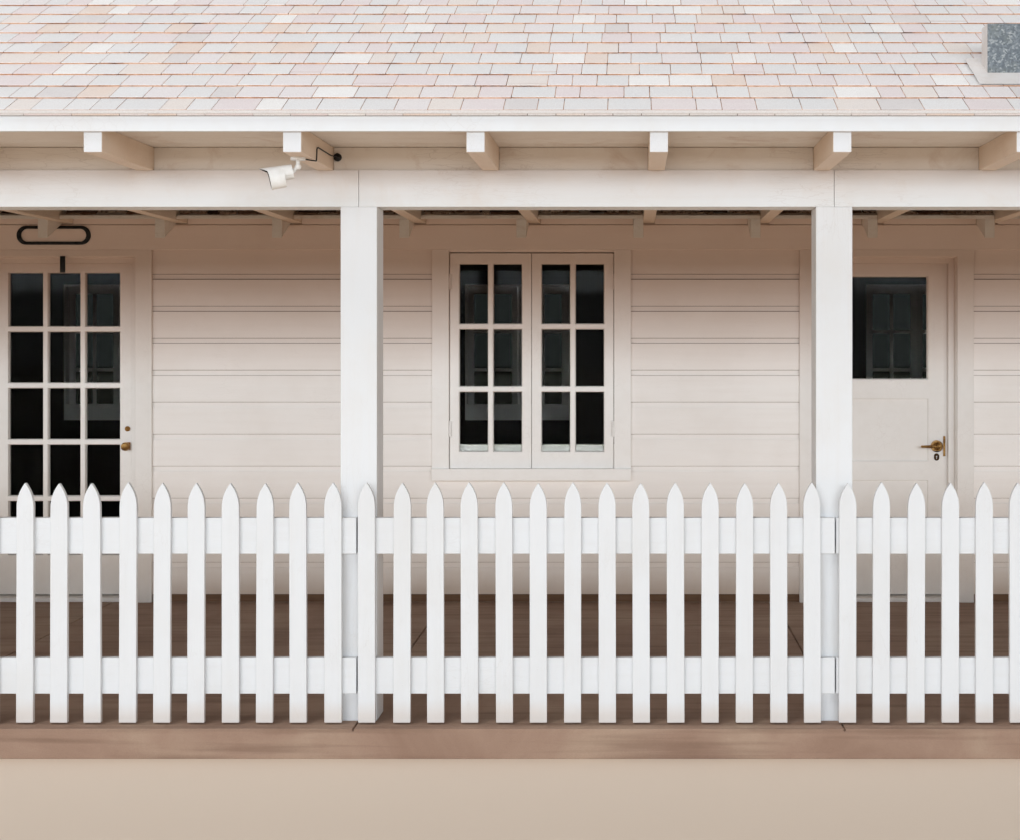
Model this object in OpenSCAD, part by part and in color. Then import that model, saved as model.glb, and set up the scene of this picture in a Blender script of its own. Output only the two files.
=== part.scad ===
// Single-storey timber bungalow with a deep front porch, a shingled gable roof
// and a picket railing. Millimetres, Z up, the front looks along -Y. The origin
// is on the ground under the middle of the roof.

/* [Plan] */
// Distance between the centres of two porch posts
bay_w = 1941; // [1700:1:2300]
// Number of porch bays along the front
bay_count = 6; // [4:2:8]
// Depth of the house between the outer faces of its front and back walls
house_d = 5500; // [4500:10:7000]
// Depth of the porch from the front wall to the front of the posts
porch_d = 2633; // [2000:1:3200]
// Overhang of the front eave beyond the posts
front_eave = 576; // [400:1:700]
// Overhang of the back eave beyond the back wall
back_eave = 580; // [400:1:700]
// Overhang of the roof beyond each end wall
gable_over = 350; // [200:1:500]
// Thickness of the outer walls
wall_t = 120; // [110:1:180]

/* [Slabs] */
// Height of the porch and house slabs above the ground
slab_h = 120; // [80:1:300]
// Distance that the porch slab runs on in front of the posts
slab_nose = 120; // [60:1:300]
// Thickness of the indoor floor boards
floor_t = 20; // [15:1:22]

/* [Porch frame] */
// Side of the square porch posts
post_w = 149; // [100:1:200]
// Height of the porch beam
beam_h = 149; // [120:1:200]
// Gap between two lengths of the porch beam at a butt joint
butt_gap = 2; // [1:0.5:4]
// Height of the joists' undersides above the floor
joist_z = 2248; // [2200:1:2500]
// Height of a joist
joist_h = 96; // [80:1:140]
// Width of a joist
joist_w = 68; // [50:1:90]
// Distance between the centres of two joists
joist_pitch = 677; // [500:1:800]
// Place of the first joist to the right of the middle of the house
joist_shift = 538; // [300:1:600]
// Extra distance of the joists beyond the camera's joist from it
joist_slip = 59; // [0:1:80]
// Thickness of the blocking between the joists
blocking_t = 38; // [25:1:60]
// Distance of the blocking behind the front of the beam
blocking_back = 14; // [5:1:40]

/* [Roof] */
// Angle of the roof in degrees
roof_angle = 30.25; // [22:0.25:37]
// Clearance under the roof boards, under the shingles and under the ridge cap
seat_gap = 0.2; // [0.1:0.05:0.3]
// Height of the roof boards' underside above the floor at the eave
eave_z = 2380; // [2370:1:2450]
// Height of the fascia board at its face
fascia_h = 57; // [40:1:70]
// Thickness of the fascia and barge boards
trim_t = 20; // [15:1:30]
// Thickness of the soffit boards
soffit_t = 18; // [12:1:20]
// Width of a soffit board
soffit_w = 138; // [90:1:200]
// Gap between two soffit boards
soffit_gap = 3; // [2:1:6]
// Upright depth of the roof rafters
rafter_h = 150; // [100:1:200]
// Thickness of the ridge board
ridge_t = 38; // [25:1:50]
// Height of the ridge board
ridge_h = 220; // [180:1:300]
// Thickness of the roof boards
roof_board_t = 20; // [15:1:30]
// Length of a shingle course that shows
shingle_show = 128; // [100:1:180]
// Thickness of a shingle at its lower end
shingle_butt = 13; // [8:1:20]
// Thickness of a shingle where the next course covers it
shingle_thin = 3; // [2:1:6]
// Distance that the lowest shingles reach past the eave
drip = 25; // [10:1:40]
// Width of each leaf of the ridge cap
cap_w = 130; // [100:1:180]
// Thickness of the ridge cap
cap_t = 14; // [10:1:20]
// Height of the barge boards
barge_h = 150; // [120:1:200]

/* [Old eave] */
// Reach of the old rafter tails in front of the wall
tail_reach = 220; // [150:1:300]
// Width of an old rafter
tail_w = 57; // [40:1:70]
// Upright depth of an old rafter at its tail
tail_h = 110; // [80:1:120]
// Drop of an old rafter tail below its seat on the wall
tail_drop = 103; // [60:1:120]
// Thickness of the old eave boards
old_board_t = 22; // [15:1:30]

/* [Trim] */
// Height of the frieze board
frieze_h = 147; // [120:1:160]
// Thickness of the frieze, the casings and the corner boards
casing_t = 20; // [15:1:30]
// Width of the casings round doors and windows
casing_w = 100; // [80:1:120]
// Width of the corner boards
corner_w = 100; // [80:1:140]

/* [Windows] */
// Width of one casement sash
sash_w = 485; // [400:1:550]
// Height of a sash
sash_h = 1277; // [1000:1:1280]
// Height of the bottom of the sashes above the floor
sash_z = 796; // [780:1:1000]
// Thickness of a sash
sash_t = 40; // [34:1:50]
// Width of the stiles of a sash
sash_stile = 55; // [45:1:70]
// Height of the top rail of a sash
sash_top = 62; // [45:1:80]
// Height of the bottom rail of a sash
sash_bottom = 98; // [60:1:120]
// Width of the glazing bars
bar_w = 28; // [18:1:36]
// Thickness of the glass
glass_t = 4; // [3:1:6]
// Gap round a sash
sash_gap = 3; // [2:1:5]
// Thickness of the frame that lines a window's opening
lining_t = 18; // [15:1:30]
// Height of the window sill
sill_h = 70; // [50:1:80]
// Reach of the window sill in front of the wall
sill_reach = 40; // [30:1:70]
// Height of a sash hinge
sash_hinge_h = 92; // [60:1:110]
// Radius of the knuckles of a sash hinge
sash_hinge_r = 6; // [4:0.5:8]
// Distance of the upper sash hinge from the top of its sash
hinge_from_top = 123; // [80:1:200]
// Distance of the lower sash hinge from the bottom of its sash
hinge_from_foot = 189; // [100:1:250]
// Height of the inner window board's top above the bottom of the opening
stool_rise = 137; // [60:1:160]
// Thickness of the inner window board
stool_t = 40; // [20:1:45]
// Depth of the inner window board
stool_d = 60; // [40:1:70]
// Place of the left front window
left_window_x = -4300; // [-4500:1:-4200]
// Place of the middle front window
middle_window_x = 520; // [200:1:800]
// Place of the right front window
right_window_x = 4520; // [4300:1:4700]
// Distance between the windows of the back wall
back_window_pitch = 3900; // [3000:1:4200]

/* [Doors] */
// Height of the door openings above the floor
door_head = 2045; // [2000:1:2050]
// Thickness of the door leaves
leaf_t = 44; // [38:1:50]
// Gap round a door leaf
door_gap = 7; // [6:0.5:9]
// Height of the thresholds
threshold_h = 25; // [23:1:30]
// Thickness of the door jambs
jamb_t = 20; // [15:1:30]
// Width of the door stops
stop_w = 34; // [20:1:36]
// Depth of the door stops
stop_d = 30; // [20:1:40]
// Width of the left door leaf
left_leaf_w = 890; // [800:1:950]
// Place of the middle of the left door
left_door_x = -2285; // [-2500:1:-2200]
// Width of the right door leaf
right_leaf_w = 810; // [760:1:900]
// Place of the middle of the right door
right_door_x = 2624; // [2500:1:2700]
// Height of the knob and the lever above the floor
handle_z = 920; // [880:1:1000]
// Distance of the knob from the edge of the leaf
knob_backset = 63; // [60:1:70]
// Radius of the knob
knob_r = 26; // [24:0.5:27]
// Thickness of the knob
knob_t = 36; // [30:1:40]
// Distance of the knob's face from the leaf
knob_reach = 58; // [54:1:60]
// Height of the night latch above the knob
latch_rise = 104; // [90:1:140]
// Distance of the lever's rose from the edge of the leaf
lever_backset = 90; // [88:1:100]
// Radius of the lever's rose
rose_r = 36; // [28:1:38]
// Length of the lever
lever_l = 94; // [80:1:130]
// Distance of the lever's middle line from the leaf
lever_reach = 42; // [38:1:46]
// Drop of the keyhole below the lever
keyhole_drop = 65; // [60:1:90]
// Height of the latch guard beside the lever
guard_h = 119; // [90:1:140]
// Radius of the hinge pins
pin_r = 3; // [2:0.5:4]
// Radial clearance between a hinge pin and its knuckle
pin_clear = 0.05; // [0.02:0.01:0.1]
// Radius of the hinge knuckles
knuckle_r = 6.5; // [5.5:0.5:7]
// Height of a hinge
hinge_h = 90; // [70:1:120]

/* [Picket railing] */
// Width of a picket
picket_w = 70; // [50:1:90]
// Thickness of a picket
picket_t = 19; // [15:1:25]
// Pickets in one bay
picket_count = 14; // [10:1:18]
// Height of the pickets' tips above the floor
picket_top = 980; // [900:1:1100]
// Height of the pickets' lower ends above the floor
picket_foot = 8; // [3:1:60]
// How far the pickets of a bay are set to the left of its middle
picket_slip = 25; // [0:1:30]
// Height of the picket's point
point_h = 97; // [80:1:140]
// Height of a railing rail
rail_h = 146; // [90:1:160]
// Thickness of a railing rail
rail_t = 38; // [25:1:50]
// Height of the top rail's lower edge above the floor
top_rail_z = 688; // [650:1:700]
// Height of the bottom rail's lower edge above the floor
bottom_rail_z = 120; // [100:1:200]
// Gap between the rails of two bays
rail_gap = 6; // [3:1:20]

/* [Fittings] */
// Length of the frame of the bare sign over the left door
sign_w = 438; // [300:1:500]
// Height of the sign frame
sign_h = 112; // [80:1:120]
// Place of the middle of the sign frame from the middle of the left door
sign_shift = -22; // [-60:1:60]
// Distance of the camera's base behind the eave
camera_in = 165; // [120:1:300]
// Radius of the camera's base
camera_base_r = 28; // [20:1:32]
// Length of the camera's sunshade
camera_l = 119; // [110:1:140]
// Radius of the camera's front housing
camera_r = 38; // [34:1:40]
// Dip of the camera below the level in degrees
camera_dip = 13; // [0:1:30]
// Turn of the camera from the left towards the front in degrees
camera_turn = 15; // [0:1:90]
// Radius of the camera's cable
cable_r = 2.5; // [1.5:0.5:4]
// Radius of the cable's entry in the blocking
entry_r = 16.5; // [10:0.5:20]
// Width of the roof vent box
vent_w = 400; // [300:1:500]
// Height of the front of the vent box
vent_h = 192; // [150:1:250]
// Depth of the vent box
vent_d = 93; // [60:1:140]
// Place of the left side of the vent box
vent_x = 2496; // [2000:1:3000]
// Run of the vent box up from the eave
vent_run = 294; // [250:1:600]

/* [Hidden] */

// Edge length that a cut reaches past the solid it cuts
over = 1;
round_fn = 48;
// Overlap of two outlines that are joined into one
lap = 0.01;
post_line = bay_w * bay_count / 2;
wall_half = post_line + post_w / 2;
roof_half = wall_half + gable_over;
total_d = front_eave + porch_d + house_d + back_eave;
eave_y = -total_d / 2;
post_y = eave_y + front_eave;
gable_y = post_y + blocking_back;
wall_y = post_y + porch_d;
back_y = wall_y + house_d;
floor_z = slab_h;
plate_z = floor_z + joist_z;
joist_top = plate_z + joist_h;
soffit_top = joist_top + soffit_t;
beam_z = plate_z - beam_h;
slope = tan(roof_angle);
board_rise = roof_board_t / cos(roof_angle);
// Heights of the undersides of the boards and the shingles above the rafters' line
board_lift = seat_gap;
shingle_lift = board_lift + board_rise + seat_gap;
ridge_z = floor_z + eave_z - eave_y * slope;
slope_len = -eave_y / cos(roof_angle);
// The old rafters run down in front of the wall, over the top of the frieze
old_slope = tail_drop / tail_reach;
frieze_clear = 2;
frieze_z = plate_z - casing_t * old_slope - frieze_clear - frieze_h;
end_margin = 60;
joist_last = wall_half - wall_t - end_margin;
joist_first = joist_shift - joist_pitch * floor((joist_shift + joist_last) / joist_pitch);
camera_joist_x = joist_shift - joist_pitch;
joist_xs = [for (x = joist_first; x <= joist_last; x = x + joist_pitch)
    x < camera_joist_x - joist_pitch / 2 ? x - joist_slip : x];
post_xs = [for (i = [0 : bay_count]) i * bay_w - post_line];
opening_half = sash_w + sash_gap * 1.5;
lining_half = opening_half + lining_t;
leaf_set = 2;
leaf_y = wall_t - leaf_set - leaf_t;
leaf_z = threshold_h + door_gap;
leaf_h = door_head - door_gap - leaf_z;
axis_x = -door_gap / 2;
axis_out = 6;
axis_y = wall_t + axis_out;
front_windows = [left_window_x, middle_window_x, right_window_x];
back_windows = [-back_window_pitch, 0, back_window_pitch];
end_window_y = wall_y + house_d / 2;
// Every window as its place and the turn of its wall
windows = concat(
    [for (x = front_windows) [x, wall_y, 0]],
    [for (x = back_windows) [x, back_y, 180]],
    [[-wall_half, end_window_y, -90], [wall_half, end_window_y, 90]]);

// Height of the roof boards' underside over a line y
function roof_z(y) = ridge_z - abs(y) * slope;

// Draws a profile in Y and Z from x = a to x = b
module along_x(a, b) {
    translate([a, 0, 0]) rotate([90, 0, 90]) linear_extrude(b - a) children();
}

// A box between two corners
module block(a, b) {
    translate(a) cube(b - a);
}

module foundation() {
    color("darkgray")
        block([-wall_half, wall_y, 0], [wall_half, back_y, slab_h]);
}

module house_floor() {
    color("burlywood")
        block([-wall_half + wall_t, wall_y + wall_t, floor_z],
            [wall_half - wall_t, back_y - wall_t, floor_z + floor_t]);
}

module porch_floor() {
    color("rosybrown")
        block([-wall_half, post_y - slab_nose, 0], [wall_half, wall_y, slab_h]);
}

module porch_posts() {
    color("whitesmoke") for (x = post_xs)
        block([x - post_w / 2, post_y, floor_z], [x + post_w / 2, post_y + post_w, beam_z]);
}

module porch_beam() {
    last = len(post_xs) - 2;
    color("whitesmoke") for (i = [0 : last]) {
        a = i == 0 ? -wall_half : post_xs[i] + butt_gap / 2;
        b = i == last ? wall_half : post_xs[i + 1] - butt_gap / 2;
        block([a, post_y, beam_z], [b, post_y + post_w, plate_z]);
    }
}

module end_beams() {
    color("whitesmoke") for (side = [0, 1]) mirror([side, 0, 0])
        block([-wall_half, post_y + post_w, beam_z],
            [-wall_half + wall_t, wall_y - casing_t, plate_z]);
}

module roof_joists() {
    color("whitesmoke") for (x = joist_xs)
        block([x - joist_w / 2, eave_y + trim_t, plate_z],
            [x + joist_w / 2, -eave_y - trim_t, joist_top]);
}

// Short boards that close the spaces between the joists over a beam or wall
module blocking_row(y) {
    ends = concat([-wall_half + wall_t - joist_w / 2], joist_xs,
        [wall_half - wall_t + joist_w / 2]);
    for (i = [0 : len(ends) - 2])
        block([ends[i] + joist_w / 2, y, plate_z],
            [ends[i + 1] - joist_w / 2, y + blocking_t, joist_top]);
}

module joist_blocking() {
    color("antiquewhite") {
        blocking_row(gable_y);
        blocking_row(back_y - blocking_t);
    }
}

// Boards over the joists, from the fascia inwards to the blocking
module soffit_row(depth) {
    n = floor((depth + soffit_gap) / (soffit_w + soffit_gap));
    w = (depth + soffit_gap) / n - soffit_gap;
    for (i = [0 : n - 1]) {
        y = eave_y + trim_t + i * (w + soffit_gap);
        block([-wall_half, y, joist_top], [wall_half, y + w, soffit_top]);
    }
}

module soffit_boards() {
    color("antiquewhite") {
        soffit_row(front_eave - trim_t + blocking_back);
        mirror([0, 1, 0]) soffit_row(back_eave - trim_t);
    }
}

module fascia() {
    along_x(-roof_half + trim_t, roof_half - trim_t) polygon([
        [eave_y, floor_z + eave_z - fascia_h],
        [eave_y + trim_t, floor_z + eave_z - fascia_h],
        [eave_y + trim_t, roof_z(eave_y + trim_t)],
        [eave_y, roof_z(eave_y)]]);
}

module fascia_boards() {
    color("white") {
        fascia();
        mirror([0, 1, 0]) fascia();
    }
}

// Front rafter: a level seat on the soffit and a plumb cut at the ridge board
module rafter() {
    foot_y = eave_y + trim_t;
    heel_y = -(ridge_z - rafter_h - soffit_top) / slope;
    polygon([[foot_y, soffit_top], [heel_y, soffit_top],
        [-ridge_t / 2, roof_z(ridge_t / 2) - rafter_h],
        [-ridge_t / 2, roof_z(ridge_t / 2)], [foot_y, roof_z(foot_y)]]);
}

module roof_rafters() {
    color("antiquewhite") for (x = joist_xs, side = [0, 1]) mirror([0, side, 0])
        along_x(x - joist_w / 2, x + joist_w / 2) rafter();
}

module ridge_board() {
    side_z = roof_z(ridge_t / 2);
    color("antiquewhite") along_x(-wall_half + wall_t, wall_half - wall_t) polygon([
        [-ridge_t / 2, side_z - ridge_h], [ridge_t / 2, side_z - ridge_h],
        [ridge_t / 2, side_z], [0, ridge_z], [-ridge_t / 2, side_z]]);
}

module roof_boards() {
    along_x(-roof_half, roof_half) translate([0, board_lift]) polygon([
        [eave_y, roof_z(eave_y)], [0, ridge_z],
        [0, ridge_z + board_rise], [eave_y, roof_z(eave_y) + board_rise]]);
}

module front_roof_boards() {
    color("antiquewhite") roof_boards();
}

module back_roof_boards() {
    color("antiquewhite") mirror([0, 1, 0]) roof_boards();
}

// Saw-tooth section of the shingle courses, laid on the roof boards
module shingles() {
    courses = round(slope_len / shingle_show);
    show = slope_len / courses;
    // Point on the roof at s along the slope and n above the boards
    function at(s, n) = [eave_y + s * cos(roof_angle) - n * sin(roof_angle),
        roof_z(eave_y) + shingle_lift + s * sin(roof_angle) + n * cos(roof_angle)];
    teeth = [for (i = [0 : courses - 2], end = [0, 1])
        at(i * show + (end == 0 ? (i == 0 ? -drip : 0) : show),
            end == 0 ? shingle_butt : shingle_thin)];
    top = (courses - 1) * show;
    along_x(-roof_half, roof_half) intersection() {
        polygon(concat([at(-drip, 0)], teeth,
            [at(top, shingle_butt), at(slope_len + shingle_butt, shingle_butt),
            at(slope_len + shingle_butt, 0)]));
        translate([2 * eave_y, 0]) square([-2 * eave_y, 2 * ridge_z]);
    }
}

module front_shingles() {
    color("lightgray") shingles();
}

module back_shingles() {
    color("lightgray") mirror([0, 1, 0]) shingles();
}

module ridge_cap() {
    seat = ridge_z + shingle_lift + shingle_butt / cos(roof_angle) + seat_gap;
    color("lightgray") along_x(-roof_half, roof_half) polygon([
        [-cap_w, seat - cap_w * slope], [0, seat], [cap_w, seat - cap_w * slope],
        [cap_w, seat - cap_w * slope + cap_t], [0, seat + cap_t],
        [-cap_w, seat - cap_w * slope + cap_t]]);
}

module barge_boards() {
    foot = roof_z(eave_y) - fascia_h;
    flat_y = eave_y + (barge_h - fascia_h) / slope;
    color("white") for (side = [0, 1]) mirror([side, 0, 0])
        along_x(-roof_half, -roof_half + trim_t) polygon([
            [eave_y, foot], [flat_y, foot], [0, ridge_z - barge_h],
            [-flat_y, foot], [-eave_y, foot], [-eave_y, roof_z(eave_y)],
            [0, ridge_z], [eave_y, roof_z(eave_y)]]);
}

// Half of the old roof's section: a rafter with a level seat on the wall plate
old_mid = house_d / 2;
old_tip_z = plate_z - tail_drop;
function old_top(y) = old_tip_z + tail_h + (y - wall_y + tail_reach) * old_slope;

module old_rafter(reach) {
    mid_y = wall_y + old_mid - butt_gap / 2;
    inner_y = wall_y + wall_t;
    tail = reach > 0 ? [[wall_y - reach, plate_z - reach * old_slope], [wall_y, plate_z]]
        : [[wall_y - reach, plate_z]];
    polygon(concat(tail, [[inner_y, plate_z],
        [mid_y, old_top(mid_y) - tail_h - wall_t * old_slope],
        [mid_y, old_top(mid_y)], [wall_y - reach, old_top(wall_y - reach)]]));
}

module old_board(reach) {
    mid_y = wall_y + old_mid - butt_gap / 2;
    polygon([[wall_y - reach, old_top(wall_y - reach)], [mid_y, old_top(mid_y)],
        [mid_y, old_top(mid_y) + old_board_t],
        [wall_y - reach, old_top(wall_y - reach) + old_board_t]]);
}

// Mirrors a front half about the middle of the house
module back_half() {
    translate([0, 2 * (wall_y + old_mid), 0]) mirror([0, 1, 0]) children();
}

module old_rafters() {
    color("antiquewhite") for (x = joist_xs) {
        along_x(x - joist_w / 2 - tail_w, x - joist_w / 2) old_rafter(tail_reach);
        back_half() along_x(x - joist_w / 2 - tail_w, x - joist_w / 2)
            old_rafter(-blocking_t);
    }
}

module old_roof_boards() {
    ends = wall_half - wall_t - over;
    color("tan") difference() {
        union() {
            along_x(-ends, ends) old_board(tail_reach);
            back_half() along_x(-ends, ends) old_board(0);
        }
        for (x = joist_xs)
            block([x - joist_w / 2, eave_y, plate_z - joist_h],
                [x + joist_w / 2, -eave_y, joist_top]);
    }
}

module ceiling_boards() {
    color("white") block([-wall_half + wall_t, wall_y + wall_t, plate_z - soffit_t],
        [wall_half - wall_t, back_y - wall_t, plate_z]);
}

// Hole for a window, with the wall's outer face at y = 0
module window_hole() {
    block([-lining_half, -over, sash_z - sash_gap - lining_t],
        [lining_half, wall_t + over, sash_z + sash_h + sash_gap + lining_t]);
}

module at_windows(list) {
    for (w = list) translate([w[0], w[1], floor_z]) rotate([0, 0, w[2]]) children();
}

// Front wall from x = a to x = b with its windows
module front_wall(a, b) {
    color("linen") difference() {
        block([a, wall_y, floor_z], [b, wall_y + wall_t, plate_z]);
        at_windows([for (x = front_windows) if (x > a && x < b) [x, wall_y, 0]]) window_hole();
    }
}

function rough_half(leaf_w) = leaf_w / 2 + door_gap + jamb_t;

module front_wall_left() {
    front_wall(-wall_half + wall_t, left_door_x - rough_half(left_leaf_w));
}

module front_wall_middle() {
    front_wall(left_door_x + rough_half(left_leaf_w),
        right_door_x - rough_half(right_leaf_w));
}

module front_wall_right() {
    front_wall(right_door_x + rough_half(right_leaf_w), wall_half - wall_t);
}

module wall_over(x, leaf_w) {
    color("linen")
        block([x - rough_half(leaf_w), wall_y, floor_z + door_head + jamb_t],
            [x + rough_half(leaf_w), wall_y + wall_t, plate_z]);
}

module wall_over_left_door() {
    wall_over(left_door_x, left_leaf_w);
}

module wall_over_right_door() {
    wall_over(right_door_x, right_leaf_w);
}

// End wall at the left: the room's wall and the gable over room and porch
module end_wall() {
    tip_y = eave_y + trim_t;
    color("linen") difference() {
        along_x(-wall_half, -wall_half + wall_t) polygon([
            [wall_y, floor_z], [back_y, floor_z], [back_y, soffit_top],
            [-tip_y, soffit_top], [-tip_y, roof_z(tip_y)], [0, ridge_z],
            [tip_y, roof_z(tip_y)], [tip_y, soffit_top], [gable_y, soffit_top],
            [gable_y, plate_z], [wall_y, plate_z]]);
        at_windows([[-wall_half, end_window_y, -90]]) window_hole();
    }
}

module left_end_wall() {
    end_wall();
}

module right_end_wall() {
    mirror([1, 0, 0]) end_wall();
}

module back_wall() {
    color("linen") difference() {
        block([-wall_half + wall_t, back_y - wall_t, floor_z],
            [wall_half - wall_t, back_y, plate_z]);
        at_windows([for (x = back_windows) [x, back_y, 180]]) window_hole();
    }
}

// Frieze on the front and back walls, notched where a window reaches up to it
module frieze_boards() {
    head = sash_z + sash_h + sash_gap;
    color("antiquewhite") difference() {
        union() {
            block([-wall_half, wall_y - casing_t, frieze_z],
                [wall_half, wall_y, frieze_z + frieze_h]);
            block([-wall_half, back_y, frieze_z],
                [wall_half, back_y + casing_t, frieze_z + frieze_h]);
        }
        at_windows([for (w = windows) if (abs(w[2]) != 90) w])
            block([-opening_half, -casing_t - over, sash_z], [opening_half, over, head]);
    }
}

// L-shaped trim on a corner of the house
module corner_board() {
    linear_extrude(frieze_z - floor_z) polygon([
        [-casing_t, -casing_t], [corner_w, -casing_t], [corner_w, 0],
        [0, 0], [0, corner_w], [-casing_t, corner_w]]);
}

module corner_boards() {
    color("antiquewhite") for (side = [0, 1]) mirror([side, 0, 0]) {
        translate([-wall_half, wall_y, floor_z]) corner_board();
        translate([-wall_half, back_y, floor_z]) mirror([0, 1, 0]) corner_board();
    }
}

// Lining, side casings, head casing and sill of one window
module window_frame(has_head) {
    top = sash_z + sash_h + sash_gap;
    bottom = sash_z - sash_gap;
    head = frieze_z - floor_z;
    difference() {
        union() {
            block([-lining_half, 0, bottom - lining_t], [lining_half, wall_t, top + lining_t]);
            block([-opening_half - casing_w, -casing_t, bottom],
                [opening_half + casing_w, 0, has_head ? top + casing_w : head]);
        }
        block([-opening_half, -casing_t - over, bottom],
            [opening_half, wall_t + over, top]);
        if (!has_head)
            block([-opening_half, -casing_t - over, bottom],
                [opening_half, 0, head + over]);
    }
    block([-opening_half - casing_w, -sill_reach, bottom - sill_h],
        [opening_half + casing_w, 0, bottom]);
    window_stool(bottom);
}

// Inner window board on its upright board, level with the room's wall
module window_stool(bottom) {
    seat = bottom + stool_rise - stool_t;
    block([-opening_half, wall_t - casing_t, bottom], [opening_half, wall_t, seat + over]);
    block([-opening_half, wall_t - stool_d, seat], [opening_half, wall_t, seat + stool_t]);
}

module window_frames() {
    color("antiquewhite") for (w = windows)
        at_windows([w]) window_frame(abs(w[2]) == 90);
}

// One sash with its left bottom corner at the origin and its front at y = 0
module sash() {
    glass_w = sash_w - 2 * sash_stile;
    glass_h = sash_h - sash_top - sash_bottom;
    cols = 2;
    rows = 3;
    glass_y = (sash_t - glass_t) / 2;
    difference() {
        cube([sash_w, sash_t, sash_h]);
        translate([sash_stile, -over, sash_bottom]) cube([glass_w, sash_t + 2 * over, glass_h]);
    }
    for (y = [0, glass_y + glass_t]) {
        for (i = [1 : cols - 1])
            translate([sash_stile + i * glass_w / cols - bar_w / 2, y, sash_bottom])
                cube([bar_w, glass_y, glass_h]);
        for (i = [1 : rows - 1])
            translate([sash_stile, y, sash_bottom + i * glass_h / rows - bar_w / 2])
                cube([glass_w, glass_y, bar_w]);
    }
}

// Places of the two sashes in a window's frame
module at_sashes() {
    for (x = [-sash_w - sash_gap / 2, sash_gap / 2])
        translate([x, 0, sash_z - sash_gap]) children();
}

module window_sashes() {
    color("white") at_windows(windows) at_sashes() sash();
}

module window_glass() {
    color("dimgray") at_windows(windows) at_sashes()
        translate([sash_stile, (sash_t - glass_t) / 2, sash_bottom])
            cube([sash_w - 2 * sash_stile, glass_t, sash_h - sash_top - sash_bottom]);
}

// Painted butt hinges between the casings and the outer stiles of the sashes
module window_hinges() {
    knuckle_x = opening_half - sash_hinge_r;
    flap_w = 3 * sash_hinge_r;
    flap_t = 2;
    zs = [hinge_from_foot, sash_h - hinge_from_top - sash_hinge_h];
    color("white") at_windows(windows) for (flip = [0, 1], z = zs)
        mirror([flip, 0, 0]) translate([0, 0, sash_z - sash_gap + z]) {
            translate([knuckle_x, -sash_hinge_r, 0])
                cylinder(h = sash_hinge_h, r = sash_hinge_r, $fn = round_fn);
            block([knuckle_x - flap_w, -flap_t, 0], [knuckle_x, 0, sash_hinge_h]);
        }
}

// Local frame of a door: x from the leaf's left edge, y from the wall's outer
// face inwards, z from the floor
module at_door(x, leaf_w) {
    translate([x - leaf_w / 2, wall_y, floor_z]) children();
}

module door_frame(leaf_w) {
    side = door_gap + jamb_t;
    stop_clear = 5;
    stop_y = leaf_y - stop_clear - stop_d;
    reveal = 6;
    outer = door_gap - reveal + casing_w + jamb_t / 2;
    color("antiquewhite") {
        for (flip = [0, 1]) translate([flip * leaf_w, 0, 0]) mirror([flip, 0, 0]) {
            block([-side, 0, 0], [-door_gap, wall_t, door_head]);
            block([-door_gap, stop_y, threshold_h], [-door_gap + stop_w, stop_y + stop_d, door_head]);
            block([-outer, -casing_t, 0], [-door_gap - reveal, 0, frieze_z - floor_z]);
        }
        block([-side, 0, door_head], [leaf_w + side, wall_t, door_head + jamb_t]);
        block([-door_gap, stop_y, door_head - stop_w], [leaf_w + door_gap, stop_y + stop_d, door_head]);
        block([-door_gap - reveal, -casing_t, door_head + reveal],
            [leaf_w + door_gap + reveal, 0, frieze_z - floor_z]);
        block([-door_gap, 0, 0], [leaf_w + door_gap, wall_t, threshold_h]);
    }
}

hinge_zs = [180, 960, 1760];
hinge_plate_t = 2;
hinge_plate_inset = 5;
knuckle_gap = 0.3;

// Knuckles, plate and pin of a hinge that stay on the jamb
module fixed_hinge() {
    third = hinge_h / 3;
    knuckle_h = third - knuckle_gap;
    translate([axis_x, axis_y, 0]) {
        for (z = [0, hinge_h - knuckle_h])
            translate([0, 0, z]) cylinder(h = knuckle_h, r = knuckle_r, $fn = round_fn);
        cylinder(h = hinge_h, r = pin_r, $fn = round_fn);
    }
    for (z = [0, hinge_h - knuckle_h])
        block([-door_gap, leaf_y + hinge_plate_inset, z],
            [-door_gap + hinge_plate_t, axis_y, z + knuckle_h]);
}

// Knuckle and plate of a hinge that turn with the leaf
module moving_hinge() {
    third = hinge_h / 3;
    difference() {
        union() {
            translate([axis_x, axis_y, third]) cylinder(h = third, r = knuckle_r, $fn = round_fn);
            block([-hinge_plate_t, leaf_y + hinge_plate_inset, third], [0, axis_y, 2 * third]);
        }
        translate([axis_x, axis_y, 0])
            cylinder(h = hinge_h, r = pin_r + pin_clear, $fn = round_fn);
    }
}

module hinge_plates() {
    color("dimgray") {
        at_door(left_door_x, left_leaf_w) for (z = hinge_zs) translate([0, 0, z]) fixed_hinge();
        at_door(right_door_x, right_leaf_w) for (z = hinge_zs) translate([0, 0, z]) fixed_hinge();
    }
}

module door_hinges(x, leaf_w) {
    color("dimgray") at_door(x, leaf_w) for (z = hinge_zs) translate([0, 0, z]) moving_hinge();
}

module left_door_hinges() {
    door_hinges(left_door_x, left_leaf_w);
}

module right_door_hinges() {
    door_hinges(right_door_x, right_leaf_w);
}

module left_door_frame() {
    at_door(left_door_x, left_leaf_w) door_frame(left_leaf_w);
}

module right_door_frame() {
    at_door(right_door_x, right_leaf_w) door_frame(right_leaf_w);
}

left_stile = 110;
left_glass_z = 268;
left_glass_h = 1691;
right_stile = 141;
right_glass_z = 1318;
right_glass_h = 620;

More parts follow.
